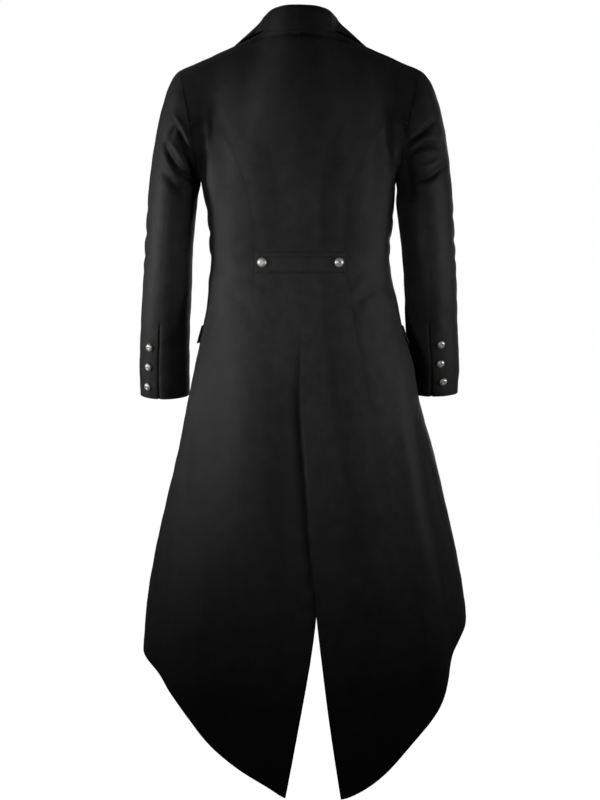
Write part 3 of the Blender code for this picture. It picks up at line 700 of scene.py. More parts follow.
    def sleeve_point(self, side: Side, angle: Numbers, level: Numbers) -> Array:
        """Works out points of a sleeve.

        Args:
            side: The wearer's side.
            angle: Angles round the sleeve: 0 its outside, 90 its back.
            level: Levels: 0 the armhole, 1 the first ring, 2 the cuff.

        Returns:
            The points.
        """
        angle, level = np.broadcast_arrays(np.asarray(angle, float), np.asarray(level, float))
        rows = self.sleeve_rows(side)
        first = rows[0].drop
        fullness = self.right_cap_fullness if side is Side.RIGHT else 1.0
        around = np.mod(angle, 360.0)
        start = self.armhole_point(side, angle) + self.armhole_clear(side, around)
        end = self.sleeve_ring(side, angle, np.full(angle.shape, first))
        out = read_place(around, self.cap_slopes, "angle", ("out", "back", "up"), side.value * fullness)
        run = read(around, self.cap_slopes, "angle", "run")[..., None]
        down = run * np.array([side.value * self.cap_axis_lean, 0.0, -1.0])
        cap = hermite(np.minimum(level, 1.0)[..., None], start, out, end, down)
        length = rows[-1].drop - first
        arm = self.sleeve_ring(side, angle, first + length * (np.maximum(level, 1.0) - 1.0))
        return np.where((level < 1.0)[..., None], cap, arm)

    def sleeve_normal(self, side: Side, angle: Numbers, level: Numbers) -> Array:
        """Returns the outward directions of a sleeve."""
        return self.facing(-side.value, partial(self.sleeve_point, side), angle, level, self.level_nudge)


FORM = CoatForm()


class Value:
    """A shader value that takes part in arithmetic."""

    def __init__(self, graph: "Graph", socket: bpy.types.NodeSocket) -> None:
        """Wraps a socket of a graph."""
        self.graph = graph
        self.socket = socket

    def __add__(self, other: "Value | float") -> "Value":
        """Adds."""
        return self.graph.maths("ADD", self, other)

    def __radd__(self, other: float) -> "Value":
        """Adds to a number."""
        return self.graph.maths("ADD", other, self)

    def __sub__(self, other: "Value | float") -> "Value":
        """Subtracts."""
        return self.graph.maths("SUBTRACT", self, other)

    def __rsub__(self, other: float) -> "Value":
        """Subtracts from a number."""
        return self.graph.maths("SUBTRACT", other, self)

    def __mul__(self, other: "Value | float") -> "Value":
        """Multiplies."""
        return self.graph.maths("MULTIPLY", self, other)

    def __rmul__(self, other: float) -> "Value":
        """Multiplies a number."""
        return self.graph.maths("MULTIPLY", other, self)

    def sine(self) -> "Value":
        """Takes the sine."""
        return self.graph.maths("SINE", self, 0.0)

    def kept_share(self) -> "Value":
        """Keeps the value from 0 to 1."""
        return self.graph.maths("MINIMUM", self.graph.maths("MAXIMUM", self, 0.0), 1.0)


class Graph:
    """The nodes of one material."""

    def __init__(self, name: str) -> None:
        """Makes a material with a Principled shader and nothing else.

        Args:
            name: The material's name.
        """
        self.material = bpy.data.materials.new(name)
        self.material.use_nodes = True
        self.tree = self.material.node_tree
        self.shader = self.tree.nodes["Principled BSDF"]

    def node(self, kind: str, settings: dict | None = None, values: dict | None = None) -> bpy.types.Node:
        """Adds a node.

        Args:
            kind: The node's type.
            settings: Its settings, which are set first.
            values: The values or links of its sockets, by name or number.

        Returns:
            The node.
        """
        made = self.tree.nodes.new(kind)
        for key, setting in (settings or {}).items():
            setattr(made, key, setting)
        for key, value in (values or {}).items():
            self.feed(made.inputs[key], value)
        return made

    def feed(
        self, socket: bpy.types.NodeSocket, value: "Value | bpy.types.NodeSocket | float | Colour"
    ) -> None:
        """Sets a socket to a number or a colour, or links it to a value.

        Args:
            socket: The socket.
            value: What it gets.
        """
        if isinstance(value, Value):
            self.tree.links.new(value.socket, socket)
        elif isinstance(value, bpy.types.NodeSocket):
            self.tree.links.new(value, socket)
        else:
            socket.default_value = value

    def maths(self, operation: str, first: "Value | float", second: "Value | float") -> Value:
        """Adds a Math node for an operation on two values."""
        made = self.node("ShaderNodeMath", {"operation": operation}, {0: first, 1: second})
        return Value(self, made.outputs[0])

    def blend(self, share: Value, first: Colour, second: Colour) -> bpy.types.NodeSocket:
        """Mixes two colours."""
        made = self.node("ShaderNodeMix", {"data_type": "RGBA"}, {0: share, 6: first, 7: second})
        return made.outputs[2]

    def noise(self, vector: bpy.types.NodeSocket, scale: float, detail: float = 2.0) -> Value:
        """Adds a soft noise over a vector."""
        made = self.node("ShaderNodeTexNoise", None, {"Vector": vector, "Scale": scale, "Detail": detail})
        return Value(self, made.outputs["Fac"])

    def attribute(self, name: str) -> Value:
        """Reads a named value that the mesh carries."""
        made = self.node("ShaderNodeAttribute", {"attribute_name": name})
        return Value(self, made.outputs["Fac"])

    def cloth_place(self) -> tuple[Value, Value]:
        """Reads the place on the cloth.

        Returns:
            The place across the threads and along them, in metres.
        """
        made = self.node("ShaderNodeUVMap", {"uv_map": "threads"})
        split = self.node("ShaderNodeSeparateXYZ", None, {0: made.outputs[0]})
        return Value(self, split.outputs[0]), Value(self, split.outputs[1])

    def object_place(self) -> bpy.types.NodeSocket:
        """Returns the place in the object, in metres."""
        return self.node("ShaderNodeTexCoord").outputs["Object"]

    def shade(self, name: str, value: "Value | bpy.types.NodeSocket | float | Colour") -> None:
        """Sets or feeds one of the shader's own sockets."""
        self.feed(self.shader.inputs[name], value)

    def bump(self, height: Value, distance: float, strength: float) -> None:
        """Feeds a height into the shader's normal."""
        values = {"Height": height, "Distance": distance, "Strength": strength}
        self.shade("Normal", self.node("ShaderNodeBump", None, values).outputs[0])


@dataclass(frozen=True)
class TwillFinish:
    """Black twill with a soft sheen."""

    name: str = "black_twill"
    deep: Colour = (0.0055, 0.0055, 0.0058, 1.0)
    # The lighter colour is both the cloth's palest tone and painted light on ridges.
    worn: Colour = (0.0290, 0.0290, 0.0296, 1.0)
    wale: float = 0.0011
    thread: float = 0.0005
    steep: float = 0.55
    plain_share: float = 0.36
    mottle_share: float = 0.8
    wale_share: float = 0.06
    # How strongly the lift's painted light and painted shade change the base colour.
    lift_share: float = 0.9
    slub_share: float = 0.15
    rough: float = 0.62
    rough_swing: float = 0.10
    wale_rough: float = 0.03
    specular: float = 0.32
    sheen: float = 0.10
    sheen_rough: float = 0.45
    sheen_tint: Colour = (0.9, 0.92, 1.0, 1.0)
    bump_distance: float = 0.00022
    bump_strength: float = 0.8

    def make(self) -> bpy.types.Material:
        """Makes the material: diagonal wales, single threads, cloudy colour, painted light on ridges and
        painted shade in troughs, seams and rims.

        Returns:
            The material.
        """
        graph = Graph(self.name)
        across, along = graph.cloth_place()
        wales = ((across + along * self.steep) * (2 * math.pi / self.wale)).sine()
        thread_rate = 2 * math.pi / self.thread
        threads = (along * thread_rate).sine() * (across * thread_rate).sine()
        place = graph.object_place()
        cloudy = graph.noise(place, 9.0, 3.0)
        mottled = graph.noise(place, 46.0, 4.0)
        slubs = graph.noise(place, 240.0, 2.0)
        painted_light = graph.attribute("lift")
        # The lift paints light on crease ridges and shade in crease troughs, pressed seams, grooves and rims,
        # mixed in with the cloth's real cloudy tone.
        share = (cloudy - 0.5) * self.mottle_share + (mottled - 0.5) * self.mottle_share + self.plain_share
        share = share + wales * self.wale_share + (painted_light - 0.5) * self.lift_share
        share = share + (slubs - 0.5) * self.slub_share
        graph.shade("Base Color", graph.blend(share.kept_share(), self.deep, self.worn))
        rough = self.rough + (cloudy - 0.5) * self.rough_swing + wales * self.wale_rough
        graph.shade("Roughness", rough)
        graph.shade("Specular IOR Level", self.specular)
        graph.shade("Sheen Weight", self.sheen)
        graph.shade("Sheen Roughness", self.sheen_rough)
        graph.shade("Sheen Tint", self.sheen_tint)
        soft = graph.noise(place, 38.0, 3.0)
        relief = wales * 0.35 + threads * 0.2 + slubs * 0.5 + soft * 5.0
        graph.bump(relief, self.bump_distance, self.bump_strength)
        return graph.material


@dataclass(frozen=True)
class MetalFinish:
    """Silver-coloured button metal, softly polished, with painted shade in its recesses and a painted shadow
    ring round its dome.
    """

    name: str = "button_metal"
    bright: Colour = (0.74, 0.725, 0.70, 1.0)
    # The dark colour paints shade: the shadow ring round the dome and the shade in its middle hollow.
    dull: Colour = (0.10, 0.097, 0.092, 1.0)
    rough: float = 0.34
    dull_rough: float = 0.25
    fine_rough: float = 0.12
    blotch_share: float = 0.3
    metallic: float = 0.55
    bump_distance: float = 0.00005
    bump_strength: float = 0.4

    def make(self) -> bpy.types.Material:
        """Makes the material.

        Returns:
            The material.
        """
        graph = Graph(self.name)
        place = graph.object_place()
        fine = graph.noise(place, 900.0, 2.0)
        blotch = graph.noise(place, 160.0, 2.0)
        painted_light = graph.attribute("lift")
        # Where the lift is low the colour turns dark: painted shadow round the dome and painted shade in its
        # hollow.
        share = (painted_light + (blotch - 0.5) * self.blotch_share).kept_share()
        graph.shade("Base Color", graph.blend(share, self.dull, self.bright))
        graph.shade("Roughness", self.rough + (1 - share) * self.dull_rough + (fine - 0.5) * self.fine_rough)
        graph.shade("Metallic", self.metallic)
        graph.bump(fine, self.bump_distance, self.bump_strength)
        return graph.material


@dataclass(frozen=True)
class ThreadFinish:
    """Black sewing thread with a faint shine."""

    name: str = "black_thread"
    colour: Colour = (0.004, 0.004, 0.0042, 1.0)
    pale: Colour = (0.010, 0.010, 0.0104, 1.0)
    rough: float = 0.55
    specular: float = 0.3
    bump_distance: float = 0.0001
    bump_strength: float = 0.5

    def make(self) -> bpy.types.Material:
        """Makes the material.

        Returns:
            The material.
        """
        graph = Graph(self.name)
        fibre = graph.noise(graph.object_place(), 1500.0, 2.0)
        graph.shade("Base Color", graph.blend(fibre, self.colour, self.pale))
        graph.shade("Roughness", self.rough)
        graph.shade("Specular IOR Level", self.specular)
        graph.bump(fibre, self.bump_distance, self.bump_strength)
        return graph.material


@dataclass(frozen=True)
class FloorFinish:
    """Plain pale paper."""

    name: str = "pale_paper"
    colour: Colour = (0.9, 0.9, 0.9, 1.0)
    pale: Colour = (0.93, 0.93, 0.93, 1.0)
    rough: float = 0.9
    glow: float = 0.97

    def make(self) -> bpy.types.Material:
        """Makes the material.

        Returns:
            The material.
        """
        graph = Graph(self.name)
        grain = graph.noise(graph.object_place(), 4.0, 2.0)
        graph.shade("Base Color", graph.blend(grain, self.colour, self.pale))
        graph.shade("Roughness", self.rough)
        graph.shade("Emission Color", WHITE)
        graph.shade("Emission Strength", self.glow)
        return graph.material


class Finishes:
    """The materials, each made once."""

    def __init__(self) -> None:
        """Makes every material."""
        self.twill = TwillFinish().make()
        self.metal = MetalFinish().make()
        self.thread = ThreadFinish().make()


@dataclass(frozen=True)
class Cut:
    """What a piece is cut to before it is sewn: its rectangle and its flat area, in metres."""

    width: float
    length: float
    area: float


@dataclass
class Cloth:
    """A closed thin sheet made from the grids of its two faces."""

    name: str
    outer: Array
    inner: Array
    lift: Array
    rim_swell: float = 0.3

    def threads(self) -> Array:
        """Lays the sheet flat.

        Returns:
            Each grid point's place on the flat cloth, across and along, in millimetres.
        """
        across = np.linalg.norm(np.diff(self.outer, axis=1), axis=-1)
        along = np.linalg.norm(np.diff(self.outer, axis=0), axis=-1)
        wide = np.concatenate([np.zeros((self.outer.shape[0], 1)), np.cumsum(across, axis=1)], axis=1)
        wide = wide - wide.mean(axis=1, keepdims=True)
        tall = np.concatenate([np.zeros((1, self.outer.shape[1])), np.cumsum(along, axis=0)], axis=0)
        return np.stack([wide, tall], axis=-1)

    def rim(self) -> tuple[list[int], Array]:
        """Follows the sheet's edge.

        Returns:
            The grid's rim in order, and the points midway across its edge, swollen outwards a little.
        """
        rows, columns = self.outer.shape[:2]
        place = np.arange(rows * columns).reshape(rows, columns)
        order = list(place[0, :]) + list(place[1:, -1]) + list(place[-1, -2::-1]) + list(place[-2:0:-1, 0])
        away = np.zeros(self.outer.shape)
        away[0] += unit(self.outer[0] - self.outer[1])
        away[-1] += unit(self.outer[-1] - self.outer[-2])
        away[:, 0] += unit(self.outer[:, 0] - self.outer[:, 1])
        away[:, -1] += unit(self.outer[:, -1] - self.outer[:, -2])
        middle = (self.outer + self.inner) / 2 + unit(away) * self.rim_swell
        return [int(k) for k in order], middle.reshape(-1, 3)[order]

    def build(self, material: bpy.types.Material) -> bpy.types.Object:
        """Makes the mesh, its thread map and its lift values.

        Args:
            material: The cloth's material.

        Returns:
            The object.
        """
        rows, columns = self.outer.shape[:2]
        count = rows * columns
        order, middle = self.rim()
        points = np.concatenate([self.outer.reshape(-1, 3), self.inner.reshape(-1, 3), middle])
        place = np.arange(count).reshape(rows, columns)
        corners = np.stack([place[:-1, :-1], place[:-1, 1:], place[1:, 1:], place[1:, :-1]], axis=-1)
        corners = corners.reshape(-1, 4)
        ring = np.array(order)
        after = np.roll(ring, -1)
        mids = 2 * count + np.arange(len(order))
        mids_after = np.roll(mids, -1)
        faces = np.concatenate(
            [
                corners,
                corners[:, ::-1] + count,
                np.stack([after, ring, mids, mids_after], axis=-1),
                np.stack([mids_after, mids, ring + count, after + count], axis=-1),
            ]
        )
        a, b, c, d = (points[faces[:, corner]] for corner in range(4))
        if (a * (np.cross(b, c) + np.cross(c, d))).sum() < 0:
            faces = faces[:, ::-1]
        flat = self.threads().reshape(-1, 2)
        lift = self.lift.reshape(-1)
        flat = np.concatenate([flat, flat, flat[order]])
        lift = np.concatenate([lift, lift, lift[order]])
        return mesh_object(self.name, points, faces, material, flat, lift)


def mesh_object(
    name: str,
    points: Array,
    faces: Array | list,
    material: bpy.types.Material,
    flat: Array,
    lift: Array,
    sharp: float = 50.0,
) -> bpy.types.Object:
    """Makes an object that rides on the coat.

    Args:
        name: The piece's name.
        points: Its points, in millimetres.
        faces: Its faces.
        material: Its material.
        flat: Each point's place on the flat cloth, in millimetres.
        lift: Each point's lift, from 0 in a trough to 1 on a ridge; the materials darken the colour towards 0
            as painted shade and lighten it towards 1 as painted light.
        sharp: The angle above which an edge is sharp, in degrees.

    Returns:
        The object.
    """
    mesh = bpy.data.meshes.new(name)
    listed = faces.tolist() if isinstance(faces, Array) else faces
    mesh.from_pydata((points * MM).tolist(), [], listed)
    mesh.update()
    corners = np.empty(len(mesh.loops), np.int32)
    mesh.loops.foreach_get("vertex_index", corners)
    layer = mesh.uv_layers.new(name="threads")
    layer.data.foreach_set("uv", (flat[corners] * MM).astype(np.float32).ravel())
    value = mesh.attributes.new("lift", "FLOAT", "POINT")
    value.data.foreach_set("value", np.clip(lift, 0.0, 1.0).astype(np.float32))
    mesh.polygons.foreach_set("use_smooth", np.ones(len(mesh.polygons), bool))
    mesh.set_sharp_from_angle(angle=math.radians(sharp))
    mesh.materials.append(material)
    made = bpy.data.objects.new(name, mesh)
    bpy.context.collection.objects.link(made)
    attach(made, ROOT)
    return made


@dataclass(frozen=True)
class Drape:
    """Everything that bends the cloth off its plain form: creases, slight unevenness and pressed seams."""

    creases: tuple[Crease, ...]
    ripple: float = 0.35
    ripple_lengths: tuple[float, ...] = (61.0, 43.0, 29.0)
    seam_sink: float = 0.42
    long_seam_share: float = 0.35
    seam_width: float = 2.0
    seam_pucker: float = 0.22
    pucker_length: float = 17.0
    pucker_beat: float = 5.3
    pucker_reach: float = 3.5

    def bend(self, side: Side, points: Array, normals: Array) -> Array:
        """Works out how far the creases and the unevenness lift the cloth.

        Args:
            side: The wearer's side.
            points: Points of the cloth.
            normals: The cloth's outward directions there.

        Returns:
            The lift at each point, in millimetres.
        """
        height = np.zeros(points.shape[:-1])
        for crease in self.creases:
            if crease.side is side:
                height = height + crease.height(points, normals)
        for number, length in enumerate(self.ripple_lengths):
            turn = 0.9 + 1.7 * number
            way = points[..., 2] * math.cos(turn) + (points[..., 0] + 0.7 * points[..., 1]) * math.sin(turn)
            other = points[..., 2] * math.sin(turn + 0.6) - points[..., 0] * math.cos(turn + 0.6)
            wave = np.sin(2 * math.pi * way / length + 1.3 * number)
            wave = wave * np.sin(2 * math.pi * other / (1.7 * length))
            height = height + self.ripple * wave / (1 + 0.5 * number)
        return height

    def press(self, points: Array, sewn: tuple["Edge", ...]) -> Array:
        """Works out how far the cloth rolls in at its sewn edges.

        Args:
            points: The grid's points.
            sewn: The edges that are sewn.

        Returns:
            The roll at each point, in millimetres.
        """
        across = np.linalg.norm(np.diff(points, axis=1, prepend=points[:, :1]), axis=-1).cumsum(axis=1)
        down = np.linalg.norm(np.diff(points, axis=0, prepend=points[:1]), axis=-1).cumsum(axis=0)
        last = across[:, -1:] - across
        gaps = {Edge.FIRST: (across, down), Edge.LAST: (last, down), Edge.TOP: (down, across)}
        sink = np.zeros(across.shape)
        for edge in sewn:
            gap, along = gaps[edge]
            pucker = self.seam_pucker * np.sin(2 * math.pi * along / self.pucker_length)
            pucker = pucker * np.sin(2 * math.pi * along / (self.pucker_length * self.pucker_beat) + 1.0)
            share = 1.0 if edge is Edge.TOP else self.long_seam_share
            roll = self.seam_sink * bell(gap, self.seam_width)
            sink = np.maximum(sink, share * (roll + pucker * bell(gap, self.pucker_reach * self.seam_width)))
        return sink


class Edge(Enum):
    """An edge of a panel's grid."""

    FIRST = "first"
    LAST = "last"
    TOP = "top"


class Hold(Enum):
    """How a piece of cloth is held."""

    HUNG = "hung"
    FOLDED = "folded"
    LAID = "laid"


@dataclass(frozen=True)
class LongSeams:
    """Where the long seams of the coat run."""

    side_back: tuple[SeamPoint, ...] = (
        SeamPoint(0.50, 89.0),
        SeamPoint(0.60, 70.0),
        SeamPoint(0.70, 54.0),
        SeamPoint(0.80, 41.5),
        SeamPoint(0.90, 33.0),
        SeamPoint(1.00, 28.5),
        SeamPoint(1.50, 26.0),
        SeamPoint(2.00, 28.0),
        SeamPoint(2.50, 36.0),
        SeamPoint(3.00, 42.0),
    )
    side: tuple[SeamPoint, ...] = (
        SeamPoint(0.00, 90.0),
        SeamPoint(1.00, 90.0),
        SeamPoint(1.50, 95.0),
        SeamPoint(2.00, 97.0),
        SeamPoint(3.00, 99.0),
    )
    slant_levels: tuple[float, float] = (0.6, 1.0)

    def turn(self, level: Array, rows: tuple[SeamPoint, ...]) -> Array:
        """Returns where a seam lies at each level."""
        return np.interp(level, [row.level for row in rows], [row.turn for row in rows])

    def nudged(self, side: Side, turn: Array, level: Array, front: bool, move: Numbers) -> Array:
        """Moves a seam along the cloth.

        Args:
            side: The wearer's side.
            turn: The seam's turns.
            level: The levels that they are for.
            front: Whether the seam is an edge of the front.
            move: How far it moves towards the front, in millimetres.

        Returns:
            The turns of the moved seam.
        """
        bottom = np.full(level.shape, FORM.hem_drop(side, turn[-1]))
        ahead = FORM.body_point(side, turn + FORM.turn_nudge, level, bottom, front)
        behind = FORM.body_point(side, turn - FORM.turn_nudge, level, bottom, front)
        step = np.linalg.norm(ahead - behind, axis=-1)
        return turn + move * 2 * FORM.turn_nudge / np.maximum(step, LEAST_STEP)

    def side_back_edge(self, side: Side, level: Array, move: float) -> Array:
        """Returns the seam between back and side, moved along the cloth, by more where it slants."""
        slant = 2 - soft_step(level, *self.slant_levels)
        return self.nudged(side, self.turn(level, self.side_back), level, False, move * slant)

    def side_edge(self, side: Side, level: Array, front: bool, move: float) -> Array:
        """Returns the turns of the side seam's or the armhole's edge, moved along the cloth."""
        seam = self.nudged(side, self.turn(level, self.side), level, front, move)
        return np.where(level < 1.0 - SEAM_TOLERANCE, FORM.side_turn, seam)


SEAMS = LongSeams()


def steps_across(
    width: float, fine_first: bool, fine_last: bool, step: float = 4.6
) -> Array:
    """Spreads grid lines over a width, closer together at a sewn edge.

    Args:
        width: The width in millimetres.
        fine_first: Whether the first edge is sewn.
        fine_last: Whether the last edge is sewn.
        step: The distance between the other lines.

    Returns:
        The lines' places, as shares of the width.
    """
    close = [0.0, 0.9, 1.9, 3.1, 4.6, 6.6]
    start = close if fine_first else [0.0, 2.0]
    end = close if fine_last else [0.0, 2.0]
    count = max(int((width - start[-1] - end[-1]) / step), 1)
    middle = np.linspace(start[-1], width - end[-1], count + 1)
    return np.concatenate([start[:-1], middle, [width - gap for gap in end[-2::-1]]]) / width


def lap_lines(edge: Array, lap: Array, count: int) -> Array:
    """Spreads the grid lines of a lap that runs under the next panel.

    Args:
        edge: Where the panel's edge lies in each row.
        lap: How far the lap runs beyond it.
        count: The number of lines, with the edge's own.

    Returns:
        The lines' places in each row, without the edge's own.
    """
    share = np.linspace(0.0, 1.0, count)[None, :-1]
    return (edge - lap)[:, None] * (1 - share) + edge[:, None] * share - LAP_START * (1 - share)


@dataclass
class Piece:
    """A piece of cloth that takes the place of a solid."""

    name: str
    cut: Cut
    finishes: Finishes
    drape: Drape
    hold: Hold = Hold.HUNG
    hangs_from: tuple[str, ...] = ()
    solids: tuple[str, ...] = ()
    wall: float = 2.0
    press_range: ClassVar[float] = 2.6

    def grids(self) -> Cloth:
        """Works out the piece's two faces."""
        raise NotImplementedError

    def dress(self) -> bpy.types.Object:
        """Makes the piece and hides the solids that it replaces.

        Returns:
            The object.
        """
        made = self.grids().build(self.finishes.twill)
        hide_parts(*(self.solids or (self.name,)))
        return made

    def shell(
        self,
        side: Side,
        points: Array,
        normals: Array,
        sink: Array,
        sewn: tuple[Edge, ...],
    ) -> Cloth:
        """Bends a plain grid and gives it its thickness.

        Args:
            side: The wearer's side.
            points: The grid on the plain form.
            normals: The outward directions there.
            sink: How far each point runs under another piece.
            sewn: The edges that are sewn.

        Returns:
            The cloth.
        """
        bend = self.drape.bend(side, points, normals)
        press = self.drape.press(points, sewn)
        outer = points + normals * (bend - press - sink)[..., None]
        # The lift paints light on crease and ripple ridges and shade in their troughs and along the pressed
        # seams; the cloth's colour reads it.
        lift = 0.5 + bend / LIFT_RANGE - press / self.press_range
        return Cloth(self.cloth_name(), outer, outer - normals * self.wall, lift)

    def cloth_name(self) -> str:
        """Returns the name of the shown piece."""
        return self.name + "_cloth"


@dataclass
class BodyPanel(Piece):
    """A panel of the coat's body, from the shoulder or armhole down to the hem."""

    side: Side = Side.LEFT
    front: bool = False
    first_level: float = 0.0009
    usual_width: float = 150.0
    sewn: tuple[Edge, ...] = (Edge.FIRST, Edge.LAST, Edge.TOP)
    shoulder_rows: int = 58
    torso_rows: int = 46
    skirt_rows: int = 170

    def levels(self) -> Array:
        """Spreads the grid's rows.

        Returns:
            The levels of the grid's rows.
        """
        close = np.array([0.0, 0.003, 0.0065, 0.011, 0.017])
        shoulder = np.concatenate([close, np.linspace(0.025, 1.0, self.shoulder_rows)])
        torso = np.linspace(1.0, 2.0, self.torso_rows + 1)[1:]
        skirt = np.linspace(2.0, 3.0, self.skirt_rows + 1)[1:]
        level = np.concatenate([shoulder, torso, skirt])
        level = np.maximum(level, self.first_level)
        return level[np.concatenate([[True], np.diff(level) > SEAM_TOLERANCE])]

    def edges(self, level: Array) -> Pair:
        """Returns the turns of the panel's first and last edges at each level."""
        raise NotImplementedError

    def columns(self, level: Array) -> Pair:
        """Spreads the grid's lines between the panel's edges.

        Args:
            level: The levels of the grid's rows.

        Returns:
            The turns of the grid's points, and how far they run under another panel.
        """
        first, last = self.edges(level)
        share = steps_across(self.usual_width, Edge.FIRST in self.sewn, Edge.LAST in self.sewn)[None, :]
        turns = first[:, None] * (1 - share) + last[:, None] * share
        return turns, np.zeros(turns.shape)

    def grids(self) -> Cloth:
        """Works out the panel's two faces.

        Returns:
            The cloth.
        """
        level = self.levels()
        turns, sink = self.columns(level)
        rows = np.broadcast_to(level[:, None], turns.shape)
        bottom = np.broadcast_to(FORM.hem_drop(self.side, turns[-1])[None, :], turns.shape)
        points = FORM.body_point(self.side, turns, rows, bottom, self.front)
        normals = FORM.body_normal(self.side, turns, rows, bottom, self.front)
        return self.shell(self.side, points, normals, sink, self.sewn)


@dataclass
class BackPanel(BodyPanel):
    """A back: from the middle seam and the vent to the side back seam, down to the tail's tip."""

    left_tip_turn: float = 8.9
    right_tip_turn: float = 7.7
    tip_bow: float = 1.15
    fork_drop: float = 1052.0
    held_levels: tuple[float, float] = (2.06, 2.125)
    freed_levels: tuple[float, float] = (2.61, 2.75)
    lap_levels: tuple[float, float, float, float] = (2.125, 2.19, 2.40, 2.61)
    lap_turn: float = 6.0
    lap_depth: float = 3.0
    lap_count: int = 6
    sink_turns: tuple[float, float] = (0.5, 5.0)

    def edges(self, level: Array) -> Pair:
        """Works out where the back's edges run.

        Args:
            level: The levels of the grid's rows.

        Returns:
            The turns of the middle edge and of the side back seam.
        """
        tip_turn = self.left_tip_turn if self.side is Side.LEFT else self.right_tip_turn
        tip = float(FORM.hem_drop(self.side, np.array(tip_turn)))
        drop = FORM.drop_at(level, np.zeros(level.shape), np.full(level.shape, tip))
        fork = np.clip((drop - self.fork_drop) / (tip - self.fork_drop), 0.0, 1.0) ** self.tip_bow
        middle = np.where(level < 2.0, 0.0, tip_turn * fork)
        middle = SEAMS.nudged(self.side, middle, level, False, FORM.seam_gap / 2)
        seam = SEAMS.side_back_edge(self.side, level, -FORM.seam_gap / 2)
        return middle, np.where(level < SEAMS.side_back[0].level, FORM.side_turn, seam)

    def columns(self, level: Array) -> Pair:
        """Spreads the grid's lines, with the left back's lap under the right one at the vent.

        Args:
            level: The levels of the grid's rows.

        Returns:
            The turns of the grid's points, and how far they run under another panel.
        """
        turns, sink = super().columns(level)
        if self.side is Side.RIGHT:
            return turns, sink
        middle = turns[:, 0].copy()
        opened, full, closing, closed = self.lap_levels
        lap = self.lap_turn * soft_step(level, opened, full) * (1 - soft_step(level, closing, closed))
        held = soft_step(level, *self.held_levels) * (1 - soft_step(level, *self.freed_levels))
        turns = np.concatenate([lap_lines(middle, lap, self.lap_count), turns], axis=1)
        sink = self.lap_depth * held[:, None] * (1 - soft_step(turns - middle[:, None], *self.sink_turns))
        return turns, sink


@dataclass
class SidePanel(BodyPanel):
    """A side body: from the side back seam to the side seam, down to the hem."""

    first_level: float = 0.5

    def edges(self, level: Array) -> Pair:
        """Returns the turns of the side back seam and of the side seam or armhole."""
        inner = SEAMS.side_back_edge(self.side, level, FORM.seam_gap / 2)
        return inner, SEAMS.side_edge(self.side, level, False, -FORM.seam_gap / 2)


@dataclass
class FrontPanel(BodyPanel):
    """A front: from its edge to the armhole and the side seam, cut away below the waist."""

    front: bool = True
    sewn: tuple[Edge, ...] = (Edge.LAST, Edge.TOP)
    lap_turns: tuple[float, float] = (160.0, 172.0)
    lap_levels: tuple[float, float] = (0.5, 0.8)
    lap_depth: float = 3.0

    def edges(self, level: Array) -> Pair:
        """Returns the turns of the front edge and of the side seam or armhole."""
        outer = SEAMS.side_edge(self.side, level, True, FORM.seam_gap / 2)
        return np.full(level.shape, FORM.front_edge_turn), outer

    def columns(self, level: Array) -> Pair:
        """Spreads the grid's lines, the right front sunk where it runs under the left one.

        Args:
            level: The levels of the grid's rows.

        Returns:
            The turns of the grid's points, and how far they run under another panel.
        """
        turns, sink = super().columns(level)
        if self.side is Side.RIGHT:
            lapped = soft_step(level, *self.lap_levels)[:, None]
            sink = self.lap_depth * soft_step(turns, *self.lap_turns) * lapped
        return turns, sink


@dataclass
class Lapel(Piece):
    """A lapel, rolled back from the front edge along its break line."""

    side: Side = Side.LEFT
    hold: Hold = Hold.FOLDED
    shares: tuple[LapelPoint, ...] = (
        LapelPoint(0.22, 0.48),
        LapelPoint(0.27, 0.53),
        LapelPoint(0.40, 0.46),
        LapelPoint(0.60, 0.31),
        LapelPoint(0.80, 0.15),
        LapelPoint(0.97, 0.03),
    )
    gorge_level: float = 0.223
    end_level: float = 0.96
    under_turn: float = 6.5
    under_levels: tuple[float, float] = (0.76, 0.88)
    rise: float = 2.8
    roll: float = 1.9
    roll_out: float = 0.45
    swell: float = 0.8
    roll_lines: int = 9
    flat_lines: int = 30
    rows: int = 64

    def grids(self) -> Cloth:
        """Works out the lapel's two faces, from under its roll to its free edge.

        Returns:
            The cloth.
        """
        level = np.linspace(self.gorge_level, self.end_level, self.rows)
        start = np.full(level.shape, FORM.front_edge_turn)
        if self.side is Side.RIGHT:
            start = start - self.under_turn * soft_step(level, *self.under_levels)
        span = (FORM.front_edge_turn - FORM.side_turn) * read(level, self.shares, "level", "share")
        share = (np.arange(1, self.flat_lines) / (self.flat_lines - 1))[None, :]
        turns = start[:, None] * (1 - share) + (FORM.front_edge_turn - span)[:, None] * share
        flat = self.on_front(turns, np.broadcast_to(level[:, None], turns.shape))
        edge, normal = self.on_front(start[:, None], level[:, None])
        ahead = self.on_front(start[:, None] + FORM.turn_nudge, level[:, None])[0]
        beyond = unit(ahead - edge)
        angle = np.linspace(-0.5 * math.pi, 0.5 * math.pi, self.roll_lines)[None, :, None]
        out = beyond * np.cos(angle) + normal * np.sin(angle)
        rolled = edge + beyond * self.roll_out + normal * (self.rise - self.roll) + out * self.roll
        swell = self.swell * np.sin(math.pi * np.clip(2 * share, 0.0, 1.0))[..., None]
        middle = np.concatenate([rolled, flat[0] + flat[1] * (self.rise + swell)], axis=1)
        out = np.concatenate([out, flat[1]], axis=1)
        bend = self.drape.bend(self.side, middle, out)[..., None]
        middle = middle + out * bend
        half = out * self.wall / 2
        # The lift paints light on crease ridges and shade in crease troughs.
        return Cloth(self.cloth_name(), middle + half, middle - half, 0.5 + bend[..., 0] / LIFT_RANGE)

    def on_front(self, turns: Array, level: Array) -> Pair:
        """Finds the plain front under the lapel.

        Args:
            turns: Turns round the body, in degrees.
            level: Levels, as in body_point.

        Returns:
            Points of the front and its outward directions there.
        """
        drop = np.full(turns.shape, FORM.chest_drop)
        return (
            FORM.body_point(self.side, turns, level, drop, True),
            FORM.body_normal(self.side, turns, level, drop, True),
        )


